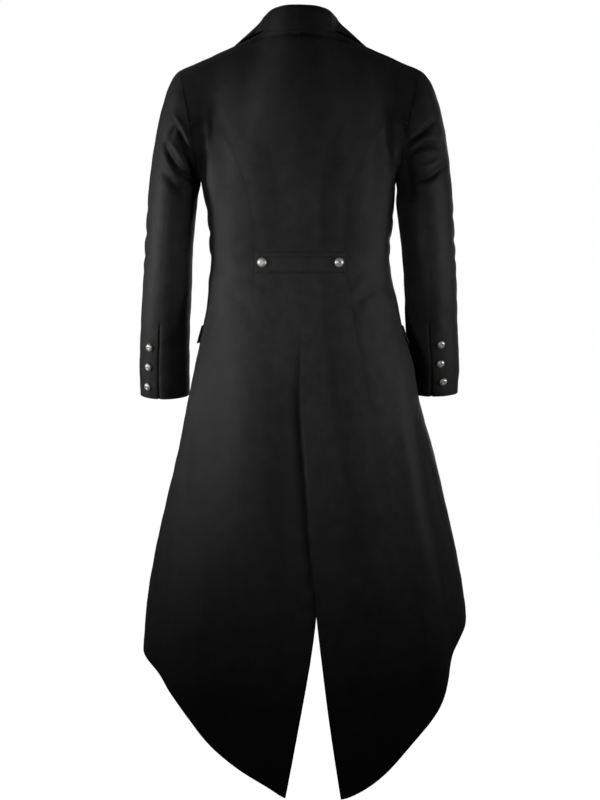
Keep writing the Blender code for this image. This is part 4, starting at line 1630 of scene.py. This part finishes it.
@dataclass
class Collar(Piece):
    """The collar: a stand that rises from the neck seam, rolls over and falls outside it."""

    hold: Hold = Hold.FOLDED
    wall: float = 2.8
    stations: tuple[CollarStation, ...] = (
        CollarStation(0.00, 31, 3.6, 0.00, 0.098),
        CollarStation(0.18, 31, 3.6, 0.14, 0.092),
        CollarStation(0.37, 30, 3.6, 0.29, 0.066),
        CollarStation(0.55, 27, 3.2, 0.455, 0.000),
        CollarStation(0.78, 19, 3.4, 0.62, 0.110),
        CollarStation(1.00, 6, 3.0, 0.66, 0.220),
    )
    neck_point: float = 0.55
    gorge_level: float = 0.22
    clear: float = 3.9
    neck_axis_back: float = 5.0
    lean: float = 0.22
    front_lean: float = 0.6
    lean_places: tuple[float, float] = (0.7, 1.0)
    foot_rise: float = 0.6
    foot_in: float = 0.2
    waist_share: float = 0.55
    waist_in: float = 0.4
    wave: float = 0.35
    rim_swell: float = 0.6
    passes: int = 3
    roll_steps: int = 8
    back_steps: int = 36
    front_steps: int = 34
    lines: int = 34

    def section(self, side: Side, place: float) -> Array:
        """Works out the middle line of the collar's cut at a place.

        Args:
            side: The wearer's side.
            place: The place, from 0 at the middle of the back to 1 at the gorge.

        Returns:
            The line's points, from the neck seam over the roll to the outer edge.
        """
        names = ("stand", "roll", "edge_share", "edge_level")
        stand, roll, edge_share, edge_level = (read(place, self.stations, "place", name) for name in names)
        front = place > self.neck_point
        if front:
            level = self.gorge_level * (place - self.neck_point) / (1 - self.neck_point)
            seat = FORM.body_point(side, FORM.front_edge_turn, level, FORM.chest_drop, True)
            share = (edge_share - FORM.neck_point_share) / (1 - FORM.neck_point_share)
            edge_turn = FORM.front_edge_turn - (FORM.front_edge_turn - FORM.side_turn) * share
        else:
            seat = FORM.top_point(side, np.array(FORM.neck_point_share * place / self.neck_point))[0]
            edge_turn = FORM.side_turn * edge_share
        out = unit(np.array([seat[0], seat[1] - self.neck_axis_back, 0.0]))
        up = unit(np.array([0.0, 0.0, 1.0]) - self.lean * out)
        along = 1 - soft_step(place, *self.lean_places)
        up = unit(up * along + unit(up - out * self.front_lean) * (1 - along))
        hub = seat + up * (stand - roll) + out * roll
        foot = seat + up * self.foot_rise - out * self.foot_in
        line = [foot, seat + up * (stand - roll) * self.waist_share - out * self.waist_in]
        for k in range(self.roll_steps + 1):
            angle = math.pi * (1 - k / self.roll_steps)
            line.append(hub + out * roll * math.cos(angle) + up * roll * math.sin(angle))
        edge = FORM.body_point(side, edge_turn, edge_level, FORM.chest_drop, front)
        normal = FORM.body_normal(side, edge_turn, edge_level, FORM.chest_drop, front)
        edge = edge + self.clear * normal
        line.append(line[-1] * 0.5 + edge * 0.5 + out)
        line.append(edge)
        return self.evened(np.array(line))

    def evened(self, line: Array) -> Array:
        """Spreads points evenly along a line.

        Args:
            line: The line's points.

        Returns:
            As many points as the collar has lines.
        """
        gone = np.concatenate([[0.0], np.cumsum(np.linalg.norm(np.diff(line, axis=0), axis=1))])
        slopes = np.gradient(line, gone, axis=0)
        at = np.linspace(0.0, gone[-1], self.lines)
        i = np.clip(np.searchsorted(gone, at, side="right") - 1, 0, len(gone) - 2)
        width = (gone[i + 1] - gone[i])[:, None]
        share = (at - gone[i])[:, None] / width
        return hermite(share, line[i], slopes[i] * width, line[i + 1], slopes[i + 1] * width)

    def grids(self) -> Cloth:
        """Works out the collar's two faces.

        Returns:
            The cloth.
        """
        back = np.linspace(0.0, self.neck_point, self.back_steps + 1)
        front = np.linspace(self.neck_point, 1.0, self.front_steps + 1)[1:]
        places = np.concatenate([back, front])
        left = [self.section(Side.LEFT, float(place)) for place in places]
        right = [self.section(Side.RIGHT, float(place)) for place in places[1:]]
        middle = self.smoothed(np.array(right[::-1] + left))
        normal = unit(np.cross(np.gradient(middle, axis=0), np.gradient(middle, axis=1)))
        wave = self.wave * np.sin(middle[..., 0] / 17.0 + 0.6) * np.sin(middle[..., 2] / 9.0)
        middle = middle + normal * wave[..., None]
        half = normal * self.wall / 2
        # The lift paints light on the collar's waves, and its outer rim gets none: painted shade, the shadow
        # line under the fall.
        lift = 0.5 + wave / 2.0
        lift[:, -1] = 0.0
        return Cloth(self.cloth_name(), middle + half, middle - half, lift, self.rim_swell)

    def smoothed(self, middle: Array) -> Array:
        """Softens the collar along its length.

        Args:
            middle: The grid midway between its faces.

        Returns:
            The softened grid.
        """
        for _ in range(self.passes):
            middle[1:-1] = 0.5 * middle[1:-1] + 0.25 * (middle[:-2] + middle[2:])
        return middle


@dataclass
class SleevePart(Piece):
    """A part of a sleeve between its two long seams."""

    side: Side = Side.LEFT
    back_seam: tuple[float, float] = (90.0, 76.0)
    right_back_seam: tuple[float, float] = (90.0, 95.0)
    front_seam: tuple[float, float] = (216.0, 212.0)
    sewn: tuple[Edge, ...] = (Edge.FIRST, Edge.LAST, Edge.TOP)
    usual_width: float = 210.0
    cap_rows: int = 84
    arm_rows: int = 120
    gap: float = 0.03

    def levels(self) -> Array:
        """Spreads the grid's rows.

        Returns:
            The levels of the grid's rows.
        """
        close = np.array([0.0, 0.004, 0.009, 0.015, 0.024])
        cap = np.concatenate([close, np.linspace(0.035, 1.0, self.cap_rows)])
        return np.concatenate([cap, np.linspace(1.0, 2.0, self.arm_rows + 1)[1:]])

    def seam(self, level: Array, ends: tuple[float, float]) -> Array:
        """Returns the angle of a long seam at each level."""
        return ends[0] + (ends[1] - ends[0]) * soft_step(level, 0.0, 2.0)

    def back_edge(self, level: Array) -> Array:
        """Returns the angle of the back seam at each level."""
        return self.seam(level, self.back_seam if self.side is Side.LEFT else self.right_back_seam)

    def columns(self, level: Array) -> Pair:
        """Returns the angles of the grid's points and how far they run under the other part."""
        raise NotImplementedError

    def between(self, first: Array, last: Array) -> Array:
        """Spreads the grid's angles between two seams."""
        share = steps_across(self.usual_width, True, True, 3.0)[None, :]
        return first[:, None] * (1 - share) + last[:, None] * share

    def grids(self) -> Cloth:
        """Works out the part's two faces.

        Returns:
            The cloth.
        """
        level = self.levels()
        angles, sink = self.columns(level)
        rows = np.broadcast_to(level[:, None], angles.shape)
        points = FORM.sleeve_point(self.side, angles, rows)
        normals = FORM.sleeve_normal(self.side, angles, rows)
        return self.shell(self.side, points, normals, sink, self.sewn)


@dataclass
class TopSleeve(SleevePart):
    """The outer part of a sleeve, from its front seam over the top to its back seam."""

    def columns(self, level: Array) -> Pair:
        """Spreads the grid's lines between the two seams.

        Args:
            level: The levels of the grid's rows.

        Returns:
            The angles of the grid's points, and how far they run under the other part.
        """
        front = self.seam(level, self.front_seam) - 360.0 + self.gap
        angles = self.between(front, self.back_edge(level) - self.gap)
        return angles, np.zeros(angles.shape)


@dataclass
class UnderSleeve(SleevePart):
    """The inner part of a sleeve, which laps under the outer one at the cuff slit."""

    usual_width: float = 130.0
    sink_levels: tuple[float, float] = (1.58, 1.64)
    lap_levels: tuple[float, float] = (1.64, 1.69)
    lap: float = 17.0
    lap_depth: float = 3.0
    lap_count: int = 7
    sink_angles: tuple[float, float] = (0.6, 9.0)

    def columns(self, level: Array) -> Pair:
        """Spreads the grid's lines, with the lap under the cuff slit.

        Args:
            level: The levels of the grid's rows.

        Returns:
            The angles of the grid's points, and how far they run under the other part.
        """
        first = self.back_edge(level) + self.gap
        angles = self.between(first, self.seam(level, self.front_seam) - self.gap)
        lap = self.lap * soft_step(level, *self.lap_levels)
        angles = np.concatenate([lap_lines(first, lap, self.lap_count), angles], axis=1)
        held = self.lap_depth * soft_step(level, *self.sink_levels)[:, None]
        return angles, held * (1 - soft_step(angles - first[:, None], *self.sink_angles))


@dataclass
class HalfBelt(Piece):
    """The half belt across the back of the waist, with its stitched lines."""

    hold: Hold = Hold.LAID
    half_turn: float = 26.4
    top_drop: float = 386.0
    bottom_drop: float = 428.0
    rise: float = 2.9
    wall: float = 2.2
    stitch_drops: tuple[float, ...] = (3.2, 11.5, 39.0)
    groove_depth: float = 0.55
    groove_width: float = 1.1
    edge_depth: float = 0.75
    edge_width: float = 1.3
    puff: float = 0.25
    mm_per_degree: float = 3.05

    def surface(self, turns: Array, drops: Array) -> Pair:
        """Returns points and outward directions of the belt's plain outer face."""
        out = FORM.ring_normal(Side.LEFT, turns, drops)
        return FORM.ring_point(Side.LEFT, turns, drops) + out * self.rise, out

    def grids(self) -> Cloth:
        """Works out the belt's two faces, with rounded edges and a groove under each stitched line.

        Returns:
            The cloth.
        """
        tall = self.bottom_drop - self.top_drop
        drops = self.top_drop + tall * steps_across(tall, True, True, 0.9)
        share = steps_across(180.0, True, True, 1.8)
        turns = self.half_turn * (2 * share - 1)
        down, along = np.meshgrid(drops, turns, indexing="ij")
        points, out = self.surface(along, down)
        groove = np.zeros(down.shape)
        for place in self.stitch_drops:
            groove = groove - self.groove_depth * bell(down - self.top_drop - place, self.groove_width)
        ends = self.half_turn * self.mm_per_degree * (1 - np.abs(along) / self.half_turn)
        rim = np.minimum(np.minimum(down - self.top_drop, self.bottom_drop - down), ends)
        rounded = -self.edge_depth * bell(rim, self.edge_width)
        bend = self.drape.bend(Side.LEFT, points, out)
        puff = self.puff * np.sin(math.pi * (down - self.top_drop) / tall) * np.sin(along / 2.1)
        outer = points + out * (groove + rounded + bend + puff)[..., None]
        inner = points + out * (bend - self.wall)[..., None]
        # The lift paints shade in the grooves under the stitched lines and on the rounded rims, and light on
        # the puff.
        return Cloth(self.cloth_name(), outer, inner, 0.52 + (groove + rounded) / 0.9 + puff / 2.0)


@dataclass
class Flap(Piece):
    """A pocket flap, which stands off the hip a little at its lower edge."""

    side: Side = Side.LEFT
    hold: Hold = Hold.LAID
    turns: tuple[float, float] = (84.0, 130.0)
    drops: tuple[float, float] = (528.0, 562.0)
    rise: float = 3.0
    left_flare: float = 3.0
    right_flare: float = 1.0
    edge_depth: float = 0.7
    edge_width: float = 1.3
    groove_depth: float = 0.4
    groove_width: float = 1.1
    groove_place: float = 5.5
    mm_per_degree: float = 3.2

    def grids(self) -> Cloth:
        """Works out the flap's two faces, with a rounded edge and a groove inside it.

        Returns:
            The cloth.
        """
        flare = self.left_flare if self.side is Side.LEFT else self.right_flare
        tall = self.drops[1] - self.drops[0]
        down, along = np.meshgrid(
            self.drops[0] + tall * steps_across(tall, True, True, 1.4),
            self.turns[0] + (self.turns[1] - self.turns[0]) * steps_across(150.0, True, True, 3.0),
            indexing="ij",
        )
        out = FORM.ring_normal(self.side, along, down)
        share = (down - self.drops[0]) / tall
        points = FORM.ring_point(self.side, along, down) + out * (self.rise + flare * share)[..., None]
        ends = self.mm_per_degree * np.minimum(along - self.turns[0], self.turns[1] - along)
        rim = np.minimum(ends, self.drops[1] - down)
        rounded = -self.edge_depth * bell(rim, self.edge_width)
        rounded = rounded - self.groove_depth * bell(rim - self.groove_place, self.groove_width)
        bend = self.drape.bend(self.side, points, out)
        outer = points + out * (rounded + bend)[..., None]
        inner = points + out * (bend - self.wall)[..., None]
        # The lift paints shade on the rounded edge and in the groove inside it.
        return Cloth(self.cloth_name(), outer, inner, 0.5 + rounded / 1.6)


@dataclass
class Stitching:
    """Rows of small stitches that lie on the cloth."""

    name: str
    finishes: Finishes
    pitch: float = 3.3
    length: float = 2.3
    thick: float = 0.26
    reach: float = 0.97
    sink: float = 0.4
    corners: ClassVar[int] = 6
    shares: ClassVar[tuple[float, ...]] = (0.0, 0.2, 0.5, 0.8, 1.0)
    arches: ClassVar[tuple[float, ...]] = (-0.5, 0.5, 0.9, 0.5, -0.5)
    widths: ClassVar[tuple[float, ...]] = (0.3, 0.9, 1.0, 0.9, 0.3)
    paths: list[Pair] = field(default_factory=list)
    points: list[Array] = field(default_factory=list)
    faces: list[tuple[int, ...]] = field(default_factory=list)

    def run(self, points: Array, normals: Array) -> None:
        """Adds a row along points of the cloth."""
        self.paths.append((points, normals))

    def dress(self) -> bpy.types.Object:
        """Makes one mesh of all the stitches.

        Returns:
            The object.
        """
        for line, normals in self.paths:
            gone = np.concatenate([[0.0], np.cumsum(np.linalg.norm(np.diff(line, axis=0), axis=1))])
            for start in np.arange(self.pitch * 0.3, gone[-1] - self.length, self.pitch):
                at = start + self.length * np.array(self.shares)
                spine = np.stack([np.interp(at, gone, line[:, k]) for k in range(3)], axis=-1)
                out = unit(np.stack([np.interp(at, gone, normals[:, k]) for k in range(3)], axis=-1))
                self.add_stitch(spine, out)
        flat = np.concatenate(self.points)
        lift = np.full(len(flat), 0.5)
        made = mesh_object(
            self.name, flat, self.faces, self.finishes.thread, flat[:, [0, 2]], lift, sharp=80.0
        )
        return made

    def add_stitch(self, spine: Array, out: Array) -> None:
        """Adds one stitch.

        Args:
            spine: The stitch's middle line on the cloth.
            out: The cloth's outward directions along it.
        """
        start = self.corners * len(self.points)
        along = unit(np.gradient(spine, axis=0))
        beside = unit(np.cross(along, out))
        arch = np.array(self.arches) * self.thick
        wide = np.array(self.widths) * self.thick
        turn = np.arange(self.corners) * (2 * math.pi / self.corners)
        for k in range(len(spine)):
            ring = np.outer(np.cos(turn), beside[k]) + np.outer(np.sin(turn), out[k])
            self.points.append(spine[k] + out[k] * arch[k] + ring * wide[k])
        last = start + self.corners * (len(spine) - 1)
        for low in range(start, last, self.corners):
            for j in range(self.corners):
                here, there = low + j, low + (j + 1) % self.corners
                self.faces.append((here, there, there + self.corners, here + self.corners))
        self.faces.append(tuple(reversed(range(start, start + self.corners))))
        self.faces.append(tuple(range(last, last + self.corners)))


@dataclass(frozen=True)
class ButtonRing:
    """A ring of a button's turned shape, as shares of its radius, and how much of the metal's own colour
    shows there against painted shade.
    """

    radius: float
    height: float
    polish: float


@dataclass
class Button:
    """A domed metal button with a rim and a small hollow in its middle."""

    name: str
    point: Array
    normal: Array
    radius: float
    finishes: Finishes
    clear: float = 0.4
    segments: int = 40
    under_polish: float = 0.1
    # The last column paints shade: 0 on the flange and underside gives the painted shadow ring round the
    # dome, and lower values in the middle paint shade in its hollow.
    rings: tuple[ButtonRing, ...] = (
        ButtonRing(0.50, 0.00, 0.0),
        ButtonRing(0.90, 0.04, 0.0),
        ButtonRing(0.98, 0.08, 0.0),
        ButtonRing(1.00, 0.12, 0.05),
        ButtonRing(0.985, 0.155, 0.05),
        ButtonRing(0.95, 0.17, 0.0),
        ButtonRing(0.90, 0.165, 0.0),
        ButtonRing(0.87, 0.17, 0.1),
        ButtonRing(0.84, 0.21, 0.7),
        ButtonRing(0.77, 0.31, 1.0),
        ButtonRing(0.65, 0.41, 1.0),
        ButtonRing(0.50, 0.48, 1.0),
        ButtonRing(0.38, 0.505, 1.0),
        ButtonRing(0.31, 0.50, 0.85),
        ButtonRing(0.25, 0.475, 0.6),
        ButtonRing(0.17, 0.455, 0.6),
        ButtonRing(0.08, 0.45, 0.7),
    )

    def dress(self) -> bpy.types.Object:
        """Turns the button's shape and sets it on the cloth.

        Returns:
            The object.
        """
        normal = unit(self.normal)
        beside = unit(np.cross(np.array([0.0, 0.0, 1.0]), normal))
        above = np.cross(normal, beside)
        start = self.point + normal * self.clear
        turn = 2 * math.pi * np.arange(self.segments) / self.segments
        circle = np.outer(np.cos(turn), beside) + np.outer(np.sin(turn), above)
        points = [start[None, :]]
        polish = [self.under_polish]
        for ring in self.rings:
            points.append(start + circle * ring.radius * self.radius + normal * ring.height * self.radius)
            polish.extend([ring.polish] * self.segments)
        points.append((start + normal * self.rings[-1].height * self.radius)[None, :])
        polish.append(self.rings[-1].polish)
        faces: list[tuple[int, ...]] = []
        last = 1 + len(self.rings) * self.segments
        for k in range(self.segments):
            after = (k + 1) % self.segments
            faces.append((0, 1 + after, 1 + k))
            for number in range(len(self.rings) - 1):
                low = 1 + number * self.segments
                high = low + self.segments
                faces.append((low + k, low + after, high + after, high + k))
            high = last - self.segments
            faces.append((high + k, high + after, last))
        flat = np.concatenate(points)
        name, lift = self.name + "_dome", np.array(polish)
        made = mesh_object(name, flat, faces, self.finishes.metal, flat[:, [0, 2]], lift, sharp=60.0)
        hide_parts(self.name)
        return made


Row = tuple[tuple[tuple[float, float], ...], float, float]


def creases(side: Side, face: Face, *rows: Row) -> tuple[Crease, ...]:
    """Lists the creases of one face, each from its three points, its width and its rise."""
    return tuple(Crease(side, face, *row) for row in rows)


# Each crease also sets the lift, so its trough gets painted shade and its ridge painted light in the cloth's
# colour.
COAT_CREASES = (
    *creases(
        Side.LEFT,
        Face.BACK,
        (((228, -150), (208, -204), (188, -252)), 5.5, -8.5),
        (((252, -182), (232, -226), (198, -258)), 5.5, -7.5),
        (((229, -154), (240, -170), (252, -190)), 4.5, -5.0),
        (((234, -132), (219, -160), (204, -192)), 4.5, 4.5),
        (((240, -184), (222, -212), (206, -238)), 6.0, 5.0),
        (((204, -196), (197, -230), (192, -266)), 9.0, -6.5),
        (((258, -236), (234, -262), (212, -290)), 8.0, -4.0),
        (((173, -116), (168, -205), (160, -296)), 9.0, 5.5),
        (((146, -130), (142, -210), (134, -290)), 13.0, -3.0),
        (((178, -560), (206, -740), (226, -900)), 14.0, 3.0),
        (((196, -680), (203, -760), (210, -840)), 10.0, -4.0),
        (((24, -600), (28, -800), (36, -1040)), 30.0, -5.0),
        (((104, -540), (118, -760), (138, -1000)), 30.0, 5.0),
        (((110, -430), (80, -446), (40, -470)), 7.0, -1.3),
        (((150, -448), (122, -470), (88, -500)), 9.0, -1.6),
        (((6, -640), (-6, -820), (-20, -1010)), 8.0, -4.6),
        # A trough under the collar's edge, whose lift also paints the shadow line under the collar.
        (((92, 4), (50, 14), (-14, 14)), 5.0, -7.0),
    ),
    *creases(
        Side.LEFT,
        Face.OUTER,
        (((-40, -330), (0, -352), (40, -348)), 9.0, -2.6),
        (((-44, -300), (-6, -312), (36, -300)), 10.0, -2.2),
        (((-56, -392), (-20, -404), (22, -386)), 8.0, -3.0),
        (((-58, -432), (-26, -436), (14, -420)), 8.0, -2.6),
        (((-60, -480), (-34, -476), (4, -458)), 9.0, -2.2),
    ),
    *creases(
        Side.LEFT,
        Face.FRONT,
        (((224, -130), (206, -186), (186, -236)), 7.0, -3.2),
        (((246, -170), (226, -216), (206, -252)), 7.0, -2.8),
        (((168, -150), (150, -220), (128, -290)), 14.0, 2.2),
        (((150, -380), (110, -398), (60, -410)), 8.0, -1.6),
        (((146, -430), (104, -436), (56, -430)), 9.0, -1.5),
        (((190, -560), (214, -720), (232, -880)), 13.0, -3.0),
    ),
    *creases(
        Side.RIGHT,
        Face.BACK,
        (((-192, -196), (-222, -172), (-252, -142)), 5.5, -8.5),
        (((-200, -210), (-232, -190), (-262, -196)), 5.5, -8.0),
        (((-200, -200), (-230, -180), (-258, -178)), 4.0, 5.5),
        (((-240, -166), (-262, -184), (-270, -212)), 7.0, 4.0),
        (((-208, -252), (-240, -250), (-272, -222)), 6.0, -7.5),
        (((-212, -232), (-240, -228), (-264, -212)), 6.0, 4.0),
        (((-190, -196), (-198, -246), (-205, -296)), 12.0, -9.0),
        (((-191, -138), (-195, -160), (-201, -182)), 4.5, -3.6),
        (((-178, -136), (-176, -214), (-170, -300)), 8.0, 5.5),
        (((-150, -150), (-148, -220), (-142, -292)), 13.0, -2.0),
        (((-188, -550), (-207, -790), (-250, -1010)), 14.0, 6.0),
        (((-214, -672), (-248, -830), (-278, -1010)), 11.0, -5.0),
        (((-70, -600), (-84, -800), (-100, -1050)), 26.0, -2.0),
        (((-118, -430), (-84, -448), (-44, -468)), 7.0, -1.2),
        (((-150, -446), (-120, -468), (-90, -504)), 9.0, -1.6),
        # A trough under the collar's edge, whose lift also paints the shadow line under the collar.
        (((14, 14), (-50, 13), (-92, 0)), 5.0, -7.0),
    ),
    *creases(
        Side.RIGHT,
        Face.OUTER,
        (((-44, -306), (-4, -322), (36, -312)), 9.0, -2.4),
        (((-40, -350), (2, -366), (40, -356)), 9.0, -2.6),
        (((-58, -398), (-22, -408), (20, -392)), 8.0, -2.8),
        (((-60, -438), (-30, -442), (10, -428)), 8.0, -2.6),
        (((-66, -500), (-38, -492), (-2, -470)), 9.0, -2.0),
    ),
    *creases(
        Side.RIGHT,
        Face.FRONT,
        (((-222, -136), (-204, -190), (-184, -240)), 7.0, -3.0),
        (((-242, -176), (-222, -220), (-204, -256)), 7.0, -2.8),
        (((-166, -150), (-150, -222), (-128, -294)), 14.0, 2.0),
        (((-150, -376), (-112, -392), (-62, -404)), 8.0, -1.6),
        (((-148, -426), (-104, -434), (-58, -432)), 9.0, -1.5),
        (((-190, -560), (-212, -720), (-228, -860)), 13.0, -3.0),
    ),
)


@dataclass(frozen=True)
class CuffPlace:
    """Where a cuff button is sewn: its angle round the sleeve and its level."""

    angle: float
    level: float


@dataclass(frozen=True)
class ButtonPlaces:
    """Where the buttons are sewn."""

    finishes: Finishes
    drape: Drape
    belt_turn: float = 22.2
    belt_radius: float = 9.4
    left_cuff: tuple[CuffPlace, ...] = (
        CuffPlace(56.0, 1.727),
        CuffPlace(54.0, 1.829),
        CuffPlace(51.0, 1.936),
    )
    right_cuff: tuple[CuffPlace, ...] = (
        CuffPlace(74.0, 1.717),
        CuffPlace(78.0, 1.819),
        CuffPlace(71.5, 1.919),
    )
    cuff_radius: float = 8.2
    front_turn: float = 180.0
    front_drops: tuple[float, float, float] = (300.0, 365.0, 430.0)
    front_radius: float = 9.4

    def every(self, belt: HalfBelt) -> list[Button]:
        """Works out all the buttons, each lifted with the cloth under it.

        Args:
            belt: The half belt, which carries two of them.

        Returns:
            The buttons.
        """
        found: list[Button] = []
        middle, turn = np.array((belt.top_drop + belt.bottom_drop) / 2), np.array(self.belt_turn)
        for side in Side:
            out = FORM.ring_normal(side, turn, middle)
            point = FORM.ring_point(side, turn, middle) + out * belt.rise
            name = f"belt_button_{side.word}"
            found.append(self.sewn(name, side, point, out, self.belt_radius))
            for number, place in enumerate(self.left_cuff if side is Side.LEFT else self.right_cuff, 1):
                angle, level = np.array(place.angle), np.array(place.level)
                point = FORM.sleeve_point(side, angle, level)
                out = FORM.sleeve_normal(side, angle, level)
                name = f"cuff_button_{side.word}_{number}"
                found.append(self.sewn(name, side, point, out, self.cuff_radius))
        for number, drop in enumerate(self.front_drops, 1):
            point = FORM.ring_point(Side.LEFT, np.array(self.front_turn), np.array(drop))
            out = FORM.ring_normal(Side.LEFT, np.array(self.front_turn), np.array(drop))
            name = f"front_button_{number}"
            found.append(self.sewn(name, Side.LEFT, point, out, self.front_radius))
        return found

    def sewn(self, name: str, side: Side, point: Array, out: Array, radius: float) -> Button:
        """Returns a button that sits on the bent cloth at a point of its plain form."""
        lift = self.drape.bend(side, point[None, :], out[None, :])[0]
        return Button(name, point + out * lift, out, radius, self.finishes)


@dataclass(frozen=True)
class Softbox:
    """A large soft light with a grid in front, which keeps its light on the middle of the coat."""

    name: str
    place: Place
    target: Place
    power: float
    width: float = 0.45
    height: float = 0.45
    spread: float = 34.0

    def switch_on(self) -> None:
        """Adds the light."""
        light = bpy.data.lights.new(self.name, "AREA")
        light.shape = "RECTANGLE"
        light.size = self.width
        light.size_y = self.height
        light.energy = self.power
        light.spread = math.radians(self.spread)
        aimed(self.name, light, self.place, self.target)


def aimed(name: str, held: bpy.types.ID, place: Place, target: Place) -> bpy.types.Object:
    """Hangs a light or a camera at a place and points it at another.

    Args:
        name: The object's name.
        held: The light or the camera.
        place: Where it hangs, in metres.
        target: What it points at, in metres.

    Returns:
        The object.
    """
    holder = bpy.data.objects.new(name, held)
    holder.location = place
    way = Vector(target) - Vector(place)
    holder.rotation_euler = way.to_track_quat("-Z", "Y").to_euler()
    bpy.context.collection.objects.link(holder)
    return holder


@dataclass
class Studio:
    """The pale floor, the soft lights and the camera."""

    floor_drop: float = 1.47
    floor_half: float = 9.0
    camera_place: Place = (0.0, 4.3, -0.3838)
    camera_target: Place = (0.0, 0.0, -0.6688)
    lens: float = 102.06
    sensor: float = 36.0
    far_clip: float = 60.0
    ambient: float = 0.032
    lights: tuple[Softbox, ...] = (
        Softbox("left_softbox", (1.20, 2.08, -0.52), (0.1, 0.0, -0.52), 0.49),
        Softbox("left_side_softbox", (2.33, 0.56, -0.42), (0.1, 0.0, -0.45), 1.30),
        Softbox("left_high_softbox", (2.39, 0.21, -0.15), (0.1, 0.0, -0.17), 0.34),
        Softbox("right_softbox", (-2.08, 1.20, -0.50), (-0.1, 0.0, -0.50), 0.42),
        Softbox("right_side_softbox", (-2.33, 0.56, -0.46), (-0.1, 0.0, -0.48), 0.56),
        Softbox("front_softbox", (-1.2, -2.8, -0.2), (0.0, 0.0, -0.5), 3.0, 1.2, 1.6, 90.0),
    )

    def dress(self) -> None:
        """Sets up the floor, the world, the lights and the camera."""
        self.lay_floor()
        self.set_world()
        for light in self.lights:
            light.switch_on()
        self.add_camera()
        bpy.context.scene.view_settings.view_transform = "Standard"
        bpy.context.scene.view_settings.look = "None"

    def lay_floor(self) -> None:
        """Lays a plain pale floor under the coat. It is bright, but throws no light back up."""
        half, z = self.floor_half, -self.floor_drop
        mesh = bpy.data.meshes.new("floor")
        corners = [(-half, -half, z), (half, -half, z), (half, half, z), (-half, half, z)]
        mesh.from_pydata(corners, [], [(0, 1, 2, 3)])
        mesh.materials.append(FloorFinish().make())
        floor = bpy.data.objects.new("floor", mesh)
        floor.visible_diffuse = False
        floor.visible_glossy = False
        bpy.context.collection.objects.link(floor)

    def set_world(self) -> None:
        """Fills the room with soft light and shows it white."""
        world = bpy.data.worlds.new("room")
        world.use_nodes = True
        tree = world.node_tree
        tree.nodes.clear()
        shown = tree.nodes.new("ShaderNodeBackground")
        soft = tree.nodes.new("ShaderNodeBackground")
        for glow, strength in ((shown, 1.0), (soft, self.ambient)):
            glow.inputs["Strength"].default_value = strength
            glow.inputs["Color"].default_value = WHITE
        path = tree.nodes.new("ShaderNodeLightPath")
        mix = tree.nodes.new("ShaderNodeMixShader")
        end = tree.nodes.new("ShaderNodeOutputWorld")
        tree.links.new(path.outputs["Is Camera Ray"], mix.inputs[0])
        tree.links.new(soft.outputs[0], mix.inputs[1])
        tree.links.new(shown.outputs[0], mix.inputs[2])
        tree.links.new(mix.outputs[0], end.inputs["Surface"])
        bpy.context.scene.world = world

    def add_camera(self) -> None:
        """Adds the camera at the photograph's angle."""
        camera = bpy.data.cameras.new("camera")
        camera.lens = self.lens
        camera.sensor_width = self.sensor
        camera.clip_end = self.far_clip
        bpy.context.scene.camera = aimed("camera", camera, self.camera_place, self.camera_target)


def side_pieces(side: Side, finishes: Finishes, drape: Drape) -> list[Piece]:
    """Lists the cloth pieces of one side.

    Args:
        side: The wearer's side.
        finishes: The materials.
        drape: What bends the cloth.

    Returns:
        The pieces.
    """
    word = side.word
    is_left = side is Side.LEFT
    looks = {"finishes": finishes, "drape": drape, "side": side}
    on_back = looks | {"hangs_from": (f"back_{word}",)}
    on_front = looks | {"hangs_from": (f"front_{word}",)}
    back_solids = ("back_left", "back_skirt_left") if is_left else ()
    front_solids = (f"front_{word}", f"front_skirt_{word}")
    return [
        BackPanel(f"back_{word}", Cut(0.28, 1.46, 0.225), solids=back_solids, usual_width=130.0, **looks),
        SidePanel(f"side_{word}", Cut(0.32, 1.19, 0.178), **on_back),
        FrontPanel(f"front_{word}", Cut(0.42, 1.14, 0.188), solids=front_solids, **on_back),
        Lapel(f"lapel_{word}", Cut(0.11, 0.28, 0.0185), end_level=0.96 if is_left else 0.88, **on_front),
        TopSleeve(f"top_sleeve_{word}", Cut(0.38, 0.64, 0.124), **on_back),
        UnderSleeve(f"under_sleeve_{word}", Cut(0.20, 0.55, 0.058), **on_back),
        Flap(f"flap_{word}", Cut(0.115, 0.036, 0.004), **on_front),
    ]


def belt_stitching(belt: HalfBelt, finishes: Finishes, drape: Drape) -> Stitching:
    """Runs the stitches along the belt.

    Args:
        belt: The half belt.
        finishes: The materials.
        drape: What bends the cloth.

    Returns:
        The stitching.
    """
    stitching = Stitching("belt_stitching", finishes)
    turns = np.linspace(-belt.half_turn, belt.half_turn, 80) * stitching.reach
    for place in belt.stitch_drops:
        points, out = belt.surface(turns, np.full(turns.shape, belt.top_drop + place))
        bend = drape.bend(Side.LEFT, points, out)
        stitching.run(points + out * (bend - stitching.sink)[:, None], out)
    return stitching


def main() -> None:
    """Dresses the coat piece by piece."""
    logging.basicConfig(level=logging.INFO, format="%(name)s: %(message)s")
    finishes = Finishes()
    drape = Drape(COAT_CREASES)
    both_backs = ("back_left", "back_right")
    belt = HalfBelt("back_belt", Cut(0.17, 0.044, 0.0073), finishes, drape, hangs_from=both_backs)
    pieces: list[Piece] = [belt]
    for side in Side:
        pieces += side_pieces(side, finishes, drape)
    pieces.append(Collar("collar", Cut(0.43, 0.10, 0.026), finishes, drape, hangs_from=both_backs))
    buttons = ButtonPlaces(finishes, drape).every(belt)
    for piece in [*pieces, *buttons, belt_stitching(belt, finishes, drape)]:
        made = piece.dress()
        LOG.info("%s: %d faces", made.name, len(made.data.polygons))
    Studio().dress()


if __name__ == "__main__":
    main()
